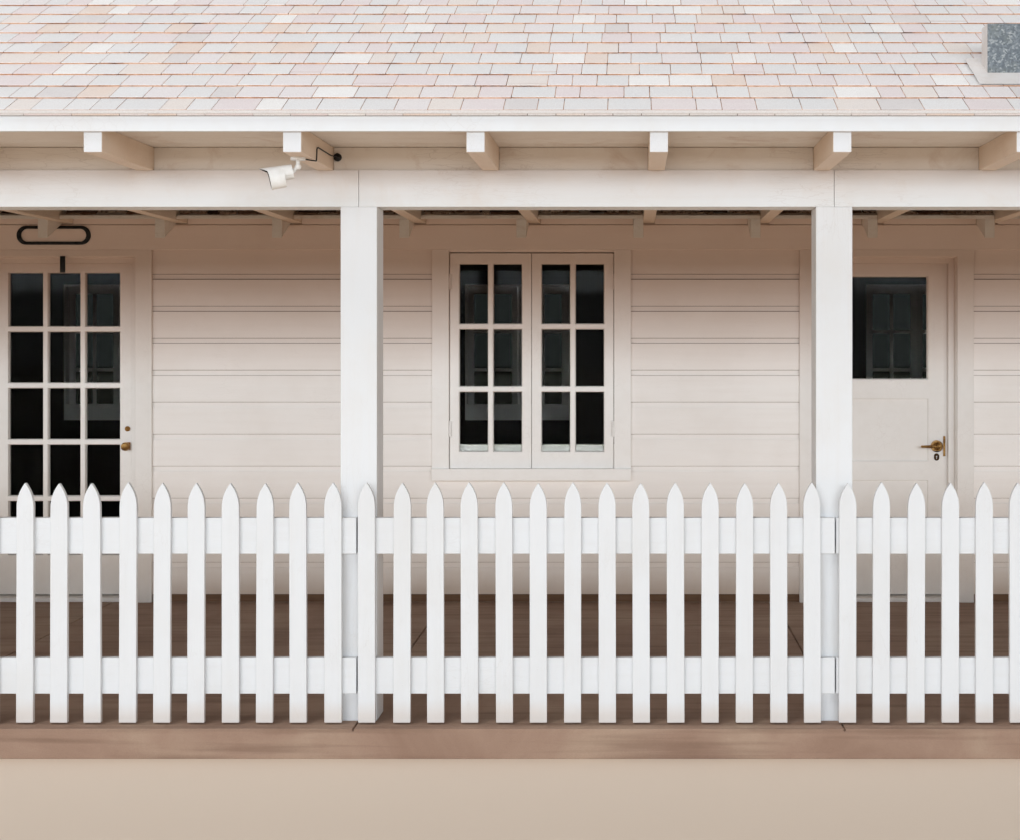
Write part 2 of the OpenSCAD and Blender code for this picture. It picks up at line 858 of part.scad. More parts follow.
module left_door_leaf() {
    glass_w = left_leaf_w - 2 * left_stile;
    glass_y = (leaf_t - glass_t) / 2;
    cols = 3;
    rows = 5;
    color("antiquewhite") at_door(left_door_x, left_leaf_w) translate([0, leaf_y, 0]) {
        difference() {
            translate([0, 0, leaf_z]) cube([left_leaf_w, leaf_t, leaf_h]);
            translate([left_stile, -over, left_glass_z])
                cube([glass_w, leaf_t + 2 * over, left_glass_h]);
        }
        for (y = [0, glass_y + glass_t]) {
            for (i = [1 : cols - 1])
                translate([left_stile + i * glass_w / cols - bar_w / 2, y, left_glass_z])
                    cube([bar_w, glass_y, left_glass_h]);
            for (i = [1 : rows - 1])
                translate([left_stile, y, left_glass_z + i * left_glass_h / rows - bar_w / 2])
                    cube([glass_w, glass_y, bar_w]);
        }
    }
}

module left_door_glass() {
    color("dimgray") at_door(left_door_x, left_leaf_w)
        translate([left_stile, leaf_y + (leaf_t - glass_t) / 2, left_glass_z])
            cube([left_leaf_w - 2 * left_stile, glass_t, left_glass_h]);
}

panel_recess = 10;

module right_door_leaf() {
    inner_w = right_leaf_w - 2 * right_stile;
    panels = [[830, 372], [300, 414]];
    color("antiquewhite") at_door(right_door_x, right_leaf_w) translate([0, leaf_y, 0])
        difference() {
            translate([0, 0, leaf_z]) cube([right_leaf_w, leaf_t, leaf_h]);
            translate([right_stile, -over, right_glass_z])
                cube([inner_w, leaf_t + 2 * over, right_glass_h]);
            for (p = panels, y = [-over, leaf_t - panel_recess])
                translate([right_stile, y, p[0]])
                    cube([inner_w, panel_recess + over, p[1]]);
        }
}

module right_door_glass() {
    color("dimgray") at_door(right_door_x, right_leaf_w)
        translate([right_stile, leaf_y + (leaf_t - glass_t) / 2, right_glass_z])
            cube([right_leaf_w - 2 * right_stile, glass_t, right_glass_h]);
}

// Round knob on its neck and plate, its back at the origin, pointing to -y
module knob() {
    neck_r = 9;
    plate = [32, 3, 46];
    translate([-plate[0] / 2, -plate[1], -plate[2] / 2]) cube(plate);
    rotate([90, 0, 0]) rotate_extrude($fn = round_fn) {
        square([neck_r, knob_reach - knob_t / 2]);
        translate([0, knob_reach - knob_t / 2]) intersection() {
            circle(knob_r, $fn = round_fn);
            translate([0, -knob_t / 2]) square([knob_r, knob_t]);
        }
    }
}

// Round night latch, its back at the origin, pointing to -y
module night_latch() {
    latch_r = 15.5;
    latch_t = 9;
    rotate([90, 0, 0]) cylinder(h = latch_t, r = latch_r, $fn = round_fn);
}

module left_door_knob() {
    color("goldenrod") at_door(left_door_x, left_leaf_w)
        for (side = [0, 1])
            translate([left_leaf_w - knob_backset, leaf_y + side * leaf_t, handle_z])
                mirror([0, side, 0]) {
                    knob();
                    translate([0, 0, latch_rise]) night_latch();
                }
}

// Lever with its rose, pointing towards the hinges and turned in at its end
module lever() {
    rose_t = 8;
    neck_r = 10;
    tip_r = 7;
    tip_l = 14;
    rotate([90, 0, 0]) cylinder(h = rose_t, r = rose_r, $fn = round_fn);
    rotate([90, 0, 0]) cylinder(h = lever_reach, r = neck_r, $fn = round_fn);
    translate([0, -lever_reach, 0]) {
        sphere(neck_r, $fn = round_fn);
        rotate([0, -90, 0]) cylinder(h = lever_l, r1 = neck_r, r2 = tip_r, $fn = round_fn);
        translate([-lever_l, 0, 0]) {
            sphere(tip_r, $fn = round_fn);
            rotate([-90, 0, 0]) cylinder(h = tip_l, r = tip_r, $fn = round_fn);
        }
    }
}

// Upright plate with round ends and a keyhole, its back at the origin
module keyhole_plate() {
    plate_r = 15.5;
    plate_t = 3;
    rise = 6;
    hole_r = 4;
    rotate([90, 0, 0]) linear_extrude(plate_t) difference() {
        union() {
            for (y = [-rise, rise]) translate([0, y]) circle(plate_r, $fn = round_fn);
            square([2 * plate_r, 2 * rise], center = true);
        }
        translate([0, rise / 2]) circle(hole_r, $fn = round_fn);
        translate([-hole_r / 2, -2 * rise]) square([hole_r, 2 * rise]);
    }
}

module right_door_lever() {
    guard = [12, 8, guard_h];
    guard_inset = 51;
    color("goldenrod") at_door(right_door_x, right_leaf_w) {
        for (side = [0, 1])
            translate([right_leaf_w - lever_backset, leaf_y + side * leaf_t, handle_z])
                mirror([0, side, 0]) {
                    lever();
                    translate([0, 0, -keyhole_drop]) keyhole_plate();
                }
        translate([right_leaf_w - guard_inset, leaf_y - guard[1], handle_z - guard_h / 2])
            cube(guard);
    }
}

// Outline of a picket: parallel sides and a point of two arcs
module picket_outline() {
    straight = picket_top - picket_foot - point_h;
    arc_r = (point_h * point_h + picket_w * picket_w / 4) / picket_w;
    translate([-picket_w / 2, 0]) square([picket_w, straight + lap]);
    intersection() {
        translate([-picket_w / 2, straight]) square([picket_w, point_h]);
        translate([arc_r - picket_w / 2, straight]) circle(arc_r, $fn = 96);
        translate([picket_w / 2 - arc_r, straight]) circle(arc_r, $fn = 96);
    }
}

// One bay of the railing: rails behind, pickets in front
module railing_bay(x) {
    rail_y = post_y - rail_t;
    for (z = [bottom_rail_z, top_rail_z])
        block([x + rail_gap / 2, rail_y, floor_z + z],
            [x + bay_w - rail_gap / 2, post_y, floor_z + z + rail_h]);
    step = bay_w / picket_count;
    for (i = [0 : picket_count - 1])
        translate([x + (i + 0.5) * step - picket_slip, rail_y, floor_z + picket_foot])
            rotate([90, 0, 0]) linear_extrude(picket_t) picket_outline();
}

module picket_railing() {
    color("white") for (i = [0 : bay_count - 1]) railing_bay(post_xs[i]);
}

// Galvanised box on the slope, with a sheet under it
module roof_vent_box() {
    lift = shingle_lift + shingle_butt / cos(roof_angle) + seat_gap;
    sheet = 2;
    y = eave_y + vent_run;
    flange = 55;
    apron = 105;
    function top_z(at_y) = roof_z(at_y) + lift;
    color("lightsteelblue") {
        along_x(vent_x, vent_x + vent_w) polygon([[y, top_z(y) + sheet],
            [y, top_z(y) + sheet + vent_h], [y + vent_d, top_z(y) + sheet + vent_h],
            [y + vent_d, top_z(y + vent_d) + sheet]]);
        along_x(vent_x - flange, vent_x + vent_w + flange) polygon([
            [y - apron, top_z(y - apron)], [y - apron, top_z(y - apron) + sheet],
            [y + vent_d + flange, top_z(y + vent_d + flange) + sheet],
            [y + vent_d + flange, top_z(y + vent_d + flange)]]);
    }
}

// Bullet camera on a ball joint under a joist, with a tapered sunshade
camera_off = 12;
camera_x = camera_joist_x - camera_off;
camera_y = eave_y + camera_in;

module security_camera() {
    base_t = 11;
    neck_l = 36;
    ball_r = 12;
    stem_r = 8;
    rear = [-20, 0, -55];
    barrel_r = 26;
    barrel_l = 60;
    housing_l = 56;
    housing_drop = 14;
    front_l = camera_l - 29;
    shade_t = 2;
    shade_r = 29;
    shade_front_r = 36;
    shade_low = 12;
    visor_low = 18;
    lens_in = 5;
    rim = 4;
    color("white") translate([camera_x, camera_y, plate_z - seat_gap]) {
        translate([0, 0, -base_t]) cylinder(h = base_t, r = camera_base_r, $fn = round_fn);
        translate([0, 0, -neck_l]) cylinder(h = neck_l, r = stem_r, $fn = round_fn);
        translate([0, 0, -neck_l]) sphere(ball_r, $fn = round_fn);
        tube([0, 0, -neck_l], rear, stem_r);
        translate(rear) rotate([0, 0, camera_turn]) rotate([0, -90 - camera_dip, 0]) {
            cylinder(h = barrel_l, r = barrel_r, $fn = round_fn);
            translate([-housing_drop, 0, front_l - housing_l]) difference() {
                cylinder(h = housing_l, r = camera_r, $fn = round_fn);
                translate([0, 0, housing_l - lens_in])
                    cylinder(h = housing_l, r = camera_r - rim, $fn = round_fn);
            }
            intersection() {
                difference() {
                    cylinder(h = camera_l, r1 = shade_r, r2 = shade_front_r, $fn = round_fn);
                    translate([0, 0, -over]) cylinder(h = camera_l + 2 * over,
                        r1 = shade_r - shade_t, r2 = shade_front_r - shade_t, $fn = round_fn);
                }
                rotate([90, 0, 0]) linear_extrude(4 * camera_r, center = true)
                    polygon([[-shade_low, 0], [2 * camera_r, 0], [2 * camera_r, camera_l + over],
                        [shade_front_r, camera_l + over], [visor_low, front_l + shade_t],
                        [-shade_low, front_l - shade_t]]);
            }
        }
    }
}

// Round bar from a to b
module tube(a, b, r) {
    run = b - a;
    translate(a) rotate([0, acos(run[2] / norm(run)), atan2(run[1], run[0])])
        cylinder(h = norm(run), r = r, $fn = round_fn);
}

// Round tube along a route that never runs along X, with a ring of points at
// each point of the route
module routed_tube(route, r) {
    sides = 10;
    last = len(route) - 1;
    function unit(v) = v / norm(v);
    function heading(i) = unit(route[min(i + 1, last)] - route[max(i - 1, 0)]);
    function ring(i) = let (side = unit(cross(heading(i), [1, 0, 0])),
        up = cross(side, heading(i)))
        [for (k = [0 : sides - 1])
            route[i] + r * cos(360 * k / sides) * side + r * sin(360 * k / sides) * up];
    points = [for (i = [0 : last]) each ring(i)];
    walls = [for (i = [0 : last - 1], k = [0 : sides - 1]) let (next = (k + 1) % sides)
        [i * sides + k, i * sides + next, (i + 1) * sides + next, (i + 1) * sides + k]];
    ends = [[for (k = [sides - 1 : -1 : 0]) k], [for (k = [0 : sides - 1]) last * sides + k]];
    polyhedron(points, concat(walls, ends));
}

// Cable from the camera's base round the joist's edge to its entry in the blocking
module camera_cable() {
    face_x = camera_x + camera_off + joist_w / 2;
    under_z = plate_z - cable_r - seat_gap;
    beside_x = face_x + cable_r + seat_gap;
    entry = [face_x + seat_gap + entry_r, gable_y, plate_z + 54];
    entry_l = 8;
    leave_angle = 65;
    // Point under the joist at a distance from the middle of the base
    function under(d) = [camera_x + d * cos(leave_angle), camera_y + d * sin(leave_angle), under_z];
    route = [under(camera_base_r), under(camera_base_r + 30), under(camera_base_r + 44),
        [beside_x, camera_y + 90, under_z], [beside_x, camera_y + 97, under_z + 5],
        [beside_x, camera_y + 105, plate_z + 45], [beside_x, camera_y + 112, entry[2] - 3],
        [beside_x, camera_y + 125, entry[2]], [beside_x, gable_y - 60, entry[2]],
        [entry[0], gable_y - 22, entry[2]], [entry[0], gable_y - entry_l, entry[2]]];
    color("dimgray") {
        routed_tube(route, cable_r);
        translate(entry) rotate([90, 0, 0]) cylinder(h = entry_l, r = entry_r, $fn = round_fn);
    }
}

// Outline with round ends, its middle at the origin
module round_ended(w, h) {
    square([w - h, h], center = true);
    for (x = [h - w, w - h]) translate([x / 2, 0]) circle(h / 2, $fn = round_fn);
}

// Open iron frame on the frieze, with a tongue on the casing below it
module door_sign() {
    iron_t = 8;
    rim_side = 26;
    rim_top = 18;
    tongue = [30, iron_t, 98];
    tongue_x = 53;
    tongue_drop = 38;
    sign_z = frieze_z + frieze_h / 2 + 12;
    color("dimgray") translate([left_door_x + sign_shift, wall_y - casing_t, 0])
        rotate([90, 0, 0]) {
            translate([0, sign_z]) linear_extrude(iron_t) difference() {
                round_ended(sign_w, sign_h);
                round_ended(sign_w - 2 * rim_side, sign_h - 2 * rim_top);
            }
            translate([tongue_x - tongue[0] / 2, frieze_z - tongue_drop - tongue[2], 0])
                cube([tongue[0], tongue[2], iron_t]);
        }
}

foundation();
house_floor();
porch_floor();
porch_posts();
porch_beam();
end_beams();
roof_joists();
joist_blocking();
soffit_boards();
fascia_boards();
roof_rafters();
ridge_board();
front_roof_boards();
back_roof_boards();
front_shingles();
back_shingles();
ridge_cap();
barge_boards();
old_rafters();
old_roof_boards();
ceiling_boards();
front_wall_left();
front_wall_middle();
front_wall_right();
wall_over_left_door();
wall_over_right_door();
left_end_wall();
right_end_wall();
back_wall();
frieze_boards();
corner_boards();
window_frames();
window_sashes();
window_glass();
left_door_frame();
left_door_leaf();
left_door_glass();
left_door_knob();
left_door_hinges();
right_door_frame();
right_door_leaf();
right_door_glass();
right_door_lever();
right_door_hinges();
hinge_plates();
picket_railing();
roof_vent_box();
window_hinges();
security_camera();
camera_cable();
door_sign();
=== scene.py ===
"""Looks of a single-storey timber bungalow with a shingled roof and a front porch.

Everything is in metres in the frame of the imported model: +X runs along the front
to the right, -Y faces whoever looks at the porch and +Z is up.
"""

import logging
import math
from dataclasses import dataclass, replace
from enum import Enum
from random import Random
from typing import Callable, Sequence

import bmesh
import bpy
import numpy as np
from mathutils import Matrix, Vector


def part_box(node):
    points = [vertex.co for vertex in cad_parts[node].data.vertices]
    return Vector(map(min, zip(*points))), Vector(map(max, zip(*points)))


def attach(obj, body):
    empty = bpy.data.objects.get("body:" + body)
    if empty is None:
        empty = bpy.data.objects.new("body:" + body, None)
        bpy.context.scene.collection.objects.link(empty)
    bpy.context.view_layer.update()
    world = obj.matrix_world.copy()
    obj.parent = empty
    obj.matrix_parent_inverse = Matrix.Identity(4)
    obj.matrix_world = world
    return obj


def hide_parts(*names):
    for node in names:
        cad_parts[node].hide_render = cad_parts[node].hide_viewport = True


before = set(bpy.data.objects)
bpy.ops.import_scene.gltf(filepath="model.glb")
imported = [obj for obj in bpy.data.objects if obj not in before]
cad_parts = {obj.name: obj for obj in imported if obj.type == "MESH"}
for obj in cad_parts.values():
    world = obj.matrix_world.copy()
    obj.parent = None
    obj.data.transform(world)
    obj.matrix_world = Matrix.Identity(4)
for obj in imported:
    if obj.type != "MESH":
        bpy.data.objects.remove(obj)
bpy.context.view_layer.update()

log = logging.getLogger("bungalow")

MM = 0.001
Point = Sequence[float]
Box = tuple[Vector, Vector]
Range = tuple[float, float]
Piece = bpy.types.Object
Tree = bpy.types.NodeTree
Socket = bpy.types.NodeSocket
Inputs = dict[int | str, object]
Stops = Sequence[tuple[float, float | str]]


class Body(Enum):
    """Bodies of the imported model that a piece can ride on."""

    HOUSE = "root"
    LEFT_DOOR = "left_door"
    RIGHT_DOOR = "right_door"


class Grain(Enum):
    """Axis along which boards run, as the stretch of a pattern on X, Y and Z."""

    ALONG_X = (0.05, 1.0, 1.0)
    ALONG_Y = (1.0, 0.05, 1.0)
    ALONG_Z = (1.0, 1.0, 0.05)
    MIXED = (0.5, 0.5, 0.5)

    @property
    def cracked(self) -> tuple[float, ...]:
        """Stretch of the cracks in paint, which follow the grain less closely."""
        return tuple(max(stretch, 0.14) for stretch in self.value)


# Modelling helpers


def select_only(piece: Piece) -> None:
    """Leaves one object selected and active.

    Args:
        piece: The object.
    """
    bpy.ops.object.select_all(action="DESELECT")
    piece.select_set(True)
    bpy.context.view_layer.objects.active = piece


def put_in(name: str, data: bpy.types.ID) -> Piece:
    """Puts a mesh, a light or a camera into the scene as an object.

    Args:
        name: Name of the object and its data.
        data: The mesh, light or camera.

    Returns:
        The new object.
    """
    data.name = name
    piece = bpy.data.objects.new(name, data)
    bpy.context.scene.collection.objects.link(piece)
    return piece


def apply_place(piece: Piece) -> None:
    """Moves an object's place, turn and scale into its mesh."""
    select_only(piece)
    bpy.ops.object.transform_apply(location=True, rotation=True, scale=True)


def take_up(name: str) -> Piece:
    """Names the object that was just made, and its mesh, and applies its place.

    Args:
        name: Name of the object and its mesh.

    Returns:
        The object.
    """
    piece = bpy.context.object
    piece.name = piece.data.name = name
    apply_place(piece)
    return piece


def add_box(name: str, low: Point, high: Point) -> Piece:
    """Adds a cube primitive that fills the space between two corners.

    Args:
        name: Name of the new piece.
        low: Lowest corner.
        high: Highest corner.

    Returns:
        The new piece, with its place in its mesh.
    """
    low, high = Vector(low), Vector(high)
    bpy.ops.mesh.primitive_cube_add(size=1, location=(low + high) / 2, scale=high - low)
    return take_up(name)


def pick_faces(piece: Piece, wanted: Callable[[bmesh.types.BMFace], bool] | None = None) -> None:
    """Enters edit mode with only some faces selected.

    Args:
        piece: Mesh object to edit.
        wanted: Test that a face has to pass. Without one, all are selected.
    """
    select_only(piece)
    bpy.ops.object.mode_set(mode="EDIT")
    bpy.ops.mesh.select_mode(type="FACE")
    bpy.ops.mesh.select_all(action="DESELECT")
    mesh = bmesh.from_edit_mesh(piece.data)
    for face in mesh.faces:
        face.select_set(wanted is None or wanted(face))
    bmesh.update_edit_mesh(piece.data)


def leave_edit() -> None:
    """Goes back to object mode."""
    bpy.ops.object.mode_set(mode="OBJECT")


def modify(piece: Piece, kind: str, **settings: object) -> None:
    """Adds one modifier with its settings and applies it.

    Args:
        piece: Object to change.
        kind: Type of the modifier.
        **settings: Values of the modifier's own properties.
    """
    select_only(piece)
    modifier = piece.modifiers.new(kind.title(), kind)
    for key, value in settings.items():
        setattr(modifier, key, value)
    bpy.ops.object.modifier_apply(modifier=modifier.name)


def ease(piece: Piece, width: float, segments: int = 2) -> None:
    """Rounds the sharp edges of a piece by a small width."""
    modify(piece, "BEVEL", width=width, segments=segments, limit_method="ANGLE",
           angle_limit=math.radians(35))


def smooth(piece: Piece, angle: float = 35.0) -> None:
    """Shades a round piece smooth, with creases above an angle in degrees."""
    select_only(piece)
    bpy.ops.object.shade_smooth_by_angle(angle=math.radians(angle))


def join(pieces: Sequence[Piece], name: str) -> Piece:
    """Joins several mesh objects into one.

    Args:
        pieces: The objects.
        name: Name of the joined one.

    Returns:
        The joined piece.
    """
    select_only(pieces[0])
    for piece in pieces[1:]:
        piece.select_set(True)
    bpy.ops.object.join()
    return take_up(name)


def copy_of(node: str, name: str, edge: float = 0.0, segments: int = 2) -> Piece:
    """Copies a CAD node's mesh into a new piece with merged points and whole faces.

    Args:
        node: Name of the CAD node.
        name: Name of the new piece.
        edge: Width by which its sharp edges are rounded, if they are.
        segments: Steps of that rounding.

    Returns:
        The new piece, free of the node's own marks.
    """
    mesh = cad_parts[node].data.copy()
    mesh.materials.clear()
    piece = put_in(name, mesh)
    select_only(piece)
    bpy.ops.object.mode_set(mode="EDIT")
    bpy.ops.mesh.select_all(action="SELECT")
    bpy.ops.mesh.remove_doubles(threshold=0.02 * MM)
    bpy.ops.mesh.dissolve_limited(angle_limit=math.radians(0.5))
    leave_edit()
    if edge:
        ease(piece, edge, segments)
    return piece


def cut_away(piece: Piece, cutters: Sequence[Piece]) -> None:
    """Cuts closed meshes out of another and removes them.

    Args:
        piece: Mesh that is cut.
        cutters: What is cut out of it.
    """
    cutter = join(cutters, "cutter")
    modify(piece, "BOOLEAN", operation="DIFFERENCE", solver="EXACT", object=cutter)
    bpy.data.objects.remove(cutter)


def sort_faces(piece: Piece, slot_of: Callable[[bpy.types.MeshPolygon], int]) -> None:
    """Gives each face of a piece the number of its material slot."""
    for face in piece.data.polygons:
        face.material_index = int(slot_of(face))


def solids(node: str) -> list[Box]:
    """Finds the box of every separate solid of a CAD node.

    Args:
        node: Name of the CAD node.

    Returns:
        Lowest and highest corners, in the order of their X, Y and Z.
    """
    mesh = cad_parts[node].data
    keys = [tuple(round(c, 5) for c in v.co) for v in mesh.vertices]
    leader = {key: key for key in keys}

    def find(key: tuple) -> tuple:
        """Follows the links up to a group's first point.

        Args:
            key: Any point of the group.

        Returns:
            The first point.
        """
        while leader[key] != key:
            leader[key] = leader[leader[key]]
            key = leader[key]
        return key

    for polygon in mesh.polygons:
        first = find(keys[polygon.vertices[0]])
        for index in polygon.vertices[1:]:
            leader[find(keys[index])] = first
    groups: dict[tuple, list[tuple]] = {}
    for key in leader:
        groups.setdefault(find(key), []).append(key)
    boxes = [(Vector(map(min, *points)), Vector(map(max, *points))) for points in groups.values()]
    return sorted(boxes, key=lambda box: (round(box[0].x, 3), round(box[0].y, 3), box[0].z))


def spread(template: Piece, name: str, places: Sequence[Matrix], tones: Sequence[float]) -> Piece:
    """Copies a template to many places as one mesh, and removes the template.

    Args:
        template: Modelled piece at the origin.
        name: Name of the new piece.
        places: Placing matrix of each copy.
        tones: Number from 0 to 1 of each copy, kept as the attribute "tone".

    Returns:
        The joined piece.
    """
    source = template.data
    points = np.array([vertex.co for vertex in source.vertices])
    moves = np.array([np.array(place) for place in places])
    placed = points @ moves[:, :3, :3].transpose(0, 2, 1) + moves[:, None, :3, 3]
    loops = [list(polygon.vertices) for polygon in source.polygons]
    faces = [[index + copy * len(points) for index in loop]
             for copy in range(len(places)) for loop in loops]
    mesh = bpy.data.meshes.new(name)
    mesh.from_pydata(placed.reshape(-1, 3).tolist(), [], faces)
    for material in source.materials:
        mesh.materials.append(material)
    for key in ("material_index", "use_smooth"):
        values = [getattr(polygon, key) for polygon in source.polygons]
        mesh.polygons.foreach_set(key, values * len(places))
    tone = mesh.attributes.new("tone", "FLOAT", "POINT")
    tone.data.foreach_set("value", np.repeat(np.array(tones, np.float32), len(points)))
    mesh.update()
    bpy.data.objects.remove(template)
    return put_in(name, mesh)


# Finishes


def linear(hex_code: str) -> tuple[float, float, float, float]:
    """Turns an sRGB hex value into the linear colour that shaders use.

    Args:
        hex_code: The value, as a hash and six digits.

    Returns:
        Red, green, blue and an alpha of one.
    """
    channels = [int(hex_code[i:i + 2], 16) / 255 for i in (1, 3, 5)]
    r, g, b = (c / 12.92 if c <= 0.04045 else ((c + 0.055) / 1.055) ** 2.4 for c in channels)
    return (r, g, b, 1.0)


def per(size: float) -> float:
    """Scale of a pattern whose features are about this many metres across."""
    return 1.0 / size


def plug(node: bpy.types.Node, inputs: Inputs) -> None:
    """Links or sets inputs of a node.

    Args:
        node: The node.
        inputs: A socket, a value or a colour's hex code, by the input's name or number.
    """
    for key, source in inputs.items():
        if isinstance(source, Socket):
            node.id_data.links.new(source, node.inputs[key])
        else:
            node.inputs[key].default_value = linear(source) if isinstance(source, str) else source


def add_node(tree: Tree, kind: str, inputs: Inputs | None = None, stops: Stops = (),
             out: int | str = 0, **settings: object) -> Socket:
    """Adds a node with its settings and links.

    Args:
        tree: Node tree of a material or the world.
        kind: Type of the node, without the word that they all begin with.
        inputs: What goes into each input, by its name or number.
        stops: Places of a colour ramp, each with its grey or its hex code.
        out: Name or number of the output that is wanted.
        **settings: Values of the node's own properties.

    Returns:
        The wanted output.
    """
    made = tree.nodes.new(f"ShaderNode{kind}")
    for key, value in settings.items():
        setattr(made, key, value)
    plug(made, inputs or {})
    if stops:
        ramp = made.color_ramp.elements
        while len(ramp) < len(stops):
            ramp.new(1.0)
        for element, (place, shade) in zip(ramp, stops):
            element.position = place
            element.color = linear(shade) if isinstance(shade, str) else (shade,) * 3 + (1.0,)
    return made.outputs[out]


# Inputs of a mix of colours, and its output and setting
AMOUNT, UNDER, OVER = 0, 6, 7
COLOURS = {"out": 2, "data_type": "RGBA"}


def lay_patches(tree: Tree, vector: Socket, size: float, stops: Stops, under: Socket | str,
                over: Socket | str, **fractal: float) -> tuple[Socket, Socket]:
    """Lays one colour over another in cloudy patches.

    Args:
        tree: Node tree of the material.
        vector: Coordinates of the noise.
        size: Size of the patches.
        stops: How much of the upper colour covers at values of the noise.
        under: Lower colour.
        over: Upper colour.
        **fractal: Detail, Roughness and Distortion of the noise.

    Returns:
        The mixed colour and the noise.
    """
    noise = add_node(tree, "TexNoise", {"Vector": vector, "Scale": per(size), **fractal})
    cover = add_node(tree, "ValToRGB", {"Fac": noise}, stops)
    mixed = add_node(tree, "Mix", {AMOUNT: cover, UNDER: under, OVER: over}, **COLOURS)
    return mixed, noise


@dataclass(frozen=True)
class Finish:
    """A surface finish, made into a material the first time that it is asked for."""

    name: str
    roughness: float = 0.85
    specular: float = 0.5
    metallic: float = 0.0
    bump: float = 0.5
    bump_t: float = 0.6 * MM

    def material(self) -> bpy.types.Material:
        """Material of this finish, built once. No finish has the name of a CAD slot."""
        return bpy.data.materials.get(self.name) or self.build()

    def build(self) -> bpy.types.Material:
        """Draws the material in object coordinates, round one main shader.

        Returns:
            The new material.
        """
        material = bpy.data.materials.new(self.name)
        material.use_nodes = True
        tree = material.node_tree
        tree.nodes.clear()
        coords = add_node(tree, "TexCoord", out="Object")
        inputs = {"Roughness": self.roughness, "Specular IOR Level": self.specular,
                  "Metallic": self.metallic, **self.surface(tree, coords)}
        if "Height" in inputs:
            inputs["Normal"] = add_node(tree, "Bump", {
                "Strength": self.bump, "Distance": self.bump_t, "Height": inputs.pop("Height")})
        shown = self.cover(tree, coords, add_node(tree, "BsdfPrincipled", inputs))
        plug(tree.nodes.new("ShaderNodeOutputMaterial"), {"Surface": shown})
        return material

    def surface(self, tree: Tree, coords: Socket) -> Inputs:
        """Draws what varies over the surface.

        Args:
            tree: Node tree of the material.
            coords: Object coordinates.

        Returns:
            Inputs of the main shader, and as "Height" the relief of the surface.
        """
        raise NotImplementedError

    def cover(self, tree: Tree, coords: Socket, shader: Socket) -> Socket:
        """Whole look of the material, which is its main shader unless a finish adds to it."""
        return shader


@dataclass(frozen=True)
class PaintedTimber(Finish):
    """Oil paint brushed on sawn or planed timber: satin, with brush lines along the boards, faint
    smudges, and hairline cracks where the paint has dried out. Rain splashes it near the ground,
    and under the eaves it turns tan towards the top, which is dust and painted shade."""

    roughness: float = 0.5
    specular: float = 0.35
    bump: float = 0.35
    bump_t: float = 0.5 * MM
    colour: str = "#EBEAE8"
    smudge: str = "#D6D1CB"
    crack: str = "#9C8878"
    stain: str = "#B98A62"
    grain: Grain = Grain.MIXED
    smudge_amount: float = 0.35
    crack_amount: float = 0.12
    stain_amount: float = 0.0
    splash_height: float = 0.0
    splash_fade: float = 0.12
    splash_amount: float = 0.6
    splash: str = "#CDB8A4"
    # Tan tint towards the top under the eaves: dust and painted shade
    eave_shade_from: float = 1.4
    eave_shade_to: float = 2.0
    eave_shade_amount: float = 0.0
    eave_dust_and_shade: str = "#C0916F"

    def surface(self, tree: Tree, coords: Socket) -> Inputs:
        """See base class."""
        along = add_node(tree, "Mapping", {"Vector": coords, "Scale": self.grain.value})
        colour, clouds = lay_patches(tree, coords, 0.45, [(0.48, 0.0), (0.72, self.smudge_amount)],
                                     self.colour, self.smudge, Detail=5.0, Roughness=0.6)
        brush = add_node(tree, "TexNoise", {"Vector": along, "Scale": per(4 * MM), "Detail": 3.0})
        colour, _ = lay_patches(tree, along, 30 * MM, [(0.45, 0.0), (0.75, 0.18)], colour,
                                self.smudge, Detail=4.0)
        cracks = self.cracks(tree, coords)
        colour = add_node(tree, "Mix", {AMOUNT: cracks, UNDER: colour, OVER: self.crack},
                          **COLOURS)
        if self.stain_amount > 0:
            colour, _ = lay_patches(tree, coords, 0.22, [(0.55, 0.0), (0.74, self.stain_amount)],
                                    colour, self.stain, Detail=6.0, Roughness=0.65,
                                    Distortion=0.6)
        height = add_node(tree, "SeparateXYZ", {"Vector": coords}, out="Z")
        if self.splash_height > 0:
            uneven = add_node(tree, "Math", {0: clouds, 1: -self.splash_fade, 2: height},
                              operation="MULTIPLY_ADD")
            fade = add_node(tree, "MapRange", {
                "Value": uneven, "From Min": self.splash_height,
                "From Max": self.splash_height - self.splash_fade, "To Max": self.splash_amount})
            colour = add_node(tree, "Mix", {AMOUNT: fade, UNDER: colour, OVER: self.splash},
                              **COLOURS)
        # Tan towards the top under the eaves: dust and painted shade
        if self.eave_shade_amount > 0:
            rise = add_node(tree, "MapRange", {
                "Value": height, "From Min": self.eave_shade_from, "From Max": self.eave_shade_to,
                "To Max": self.eave_shade_amount})
            colour = add_node(tree, "Mix", {AMOUNT: rise, UNDER: colour,
                                            OVER: self.eave_dust_and_shade}, **COLOURS)
        relief = add_node(tree, "Math", {0: cracks, 1: -4.0, 2: brush}, operation="MULTIPLY_ADD")
        return {"Base Color": colour, "Height": relief}

    def cracks(self, tree: Tree, coords: Socket) -> Socket:
        """Draws hairline cracks that wander along the grain, in some patches only.

        Args:
            tree: Node tree of the material.
            coords: Object coordinates.

        Returns:
            How much of a crack there is.
        """
        split = add_node(tree, "Mapping", {"Vector": coords, "Scale": self.grain.cracked})
        wobble = add_node(tree, "TexNoise", {"Vector": coords, "Scale": per(18 * MM),
                                             "Detail": 2.0}, out="Color")
        bent = add_node(tree, "VectorMath", {0: wobble, 1: (8 * MM,) * 3, 2: split},
                        operation="MULTIPLY_ADD")
        cells = add_node(tree, "TexVoronoi", {"Vector": bent, "Scale": per(20 * MM)},
                         feature="DISTANCE_TO_EDGE")
        lines = add_node(tree, "ValToRGB", {"Fac": cells}, [(0.0, 1.0), (0.04, 0.0)])
        patches = add_node(tree, "TexNoise", {"Vector": coords, "Scale": per(0.3), "Detail": 4.0})
        sparse = add_node(tree, "ValToRGB", {"Fac": patches},
                          [(0.5, 0.0), (0.66, self.crack_amount)])
        return add_node(tree, "Math", {0: lines, 1: sparse}, operation="MULTIPLY")


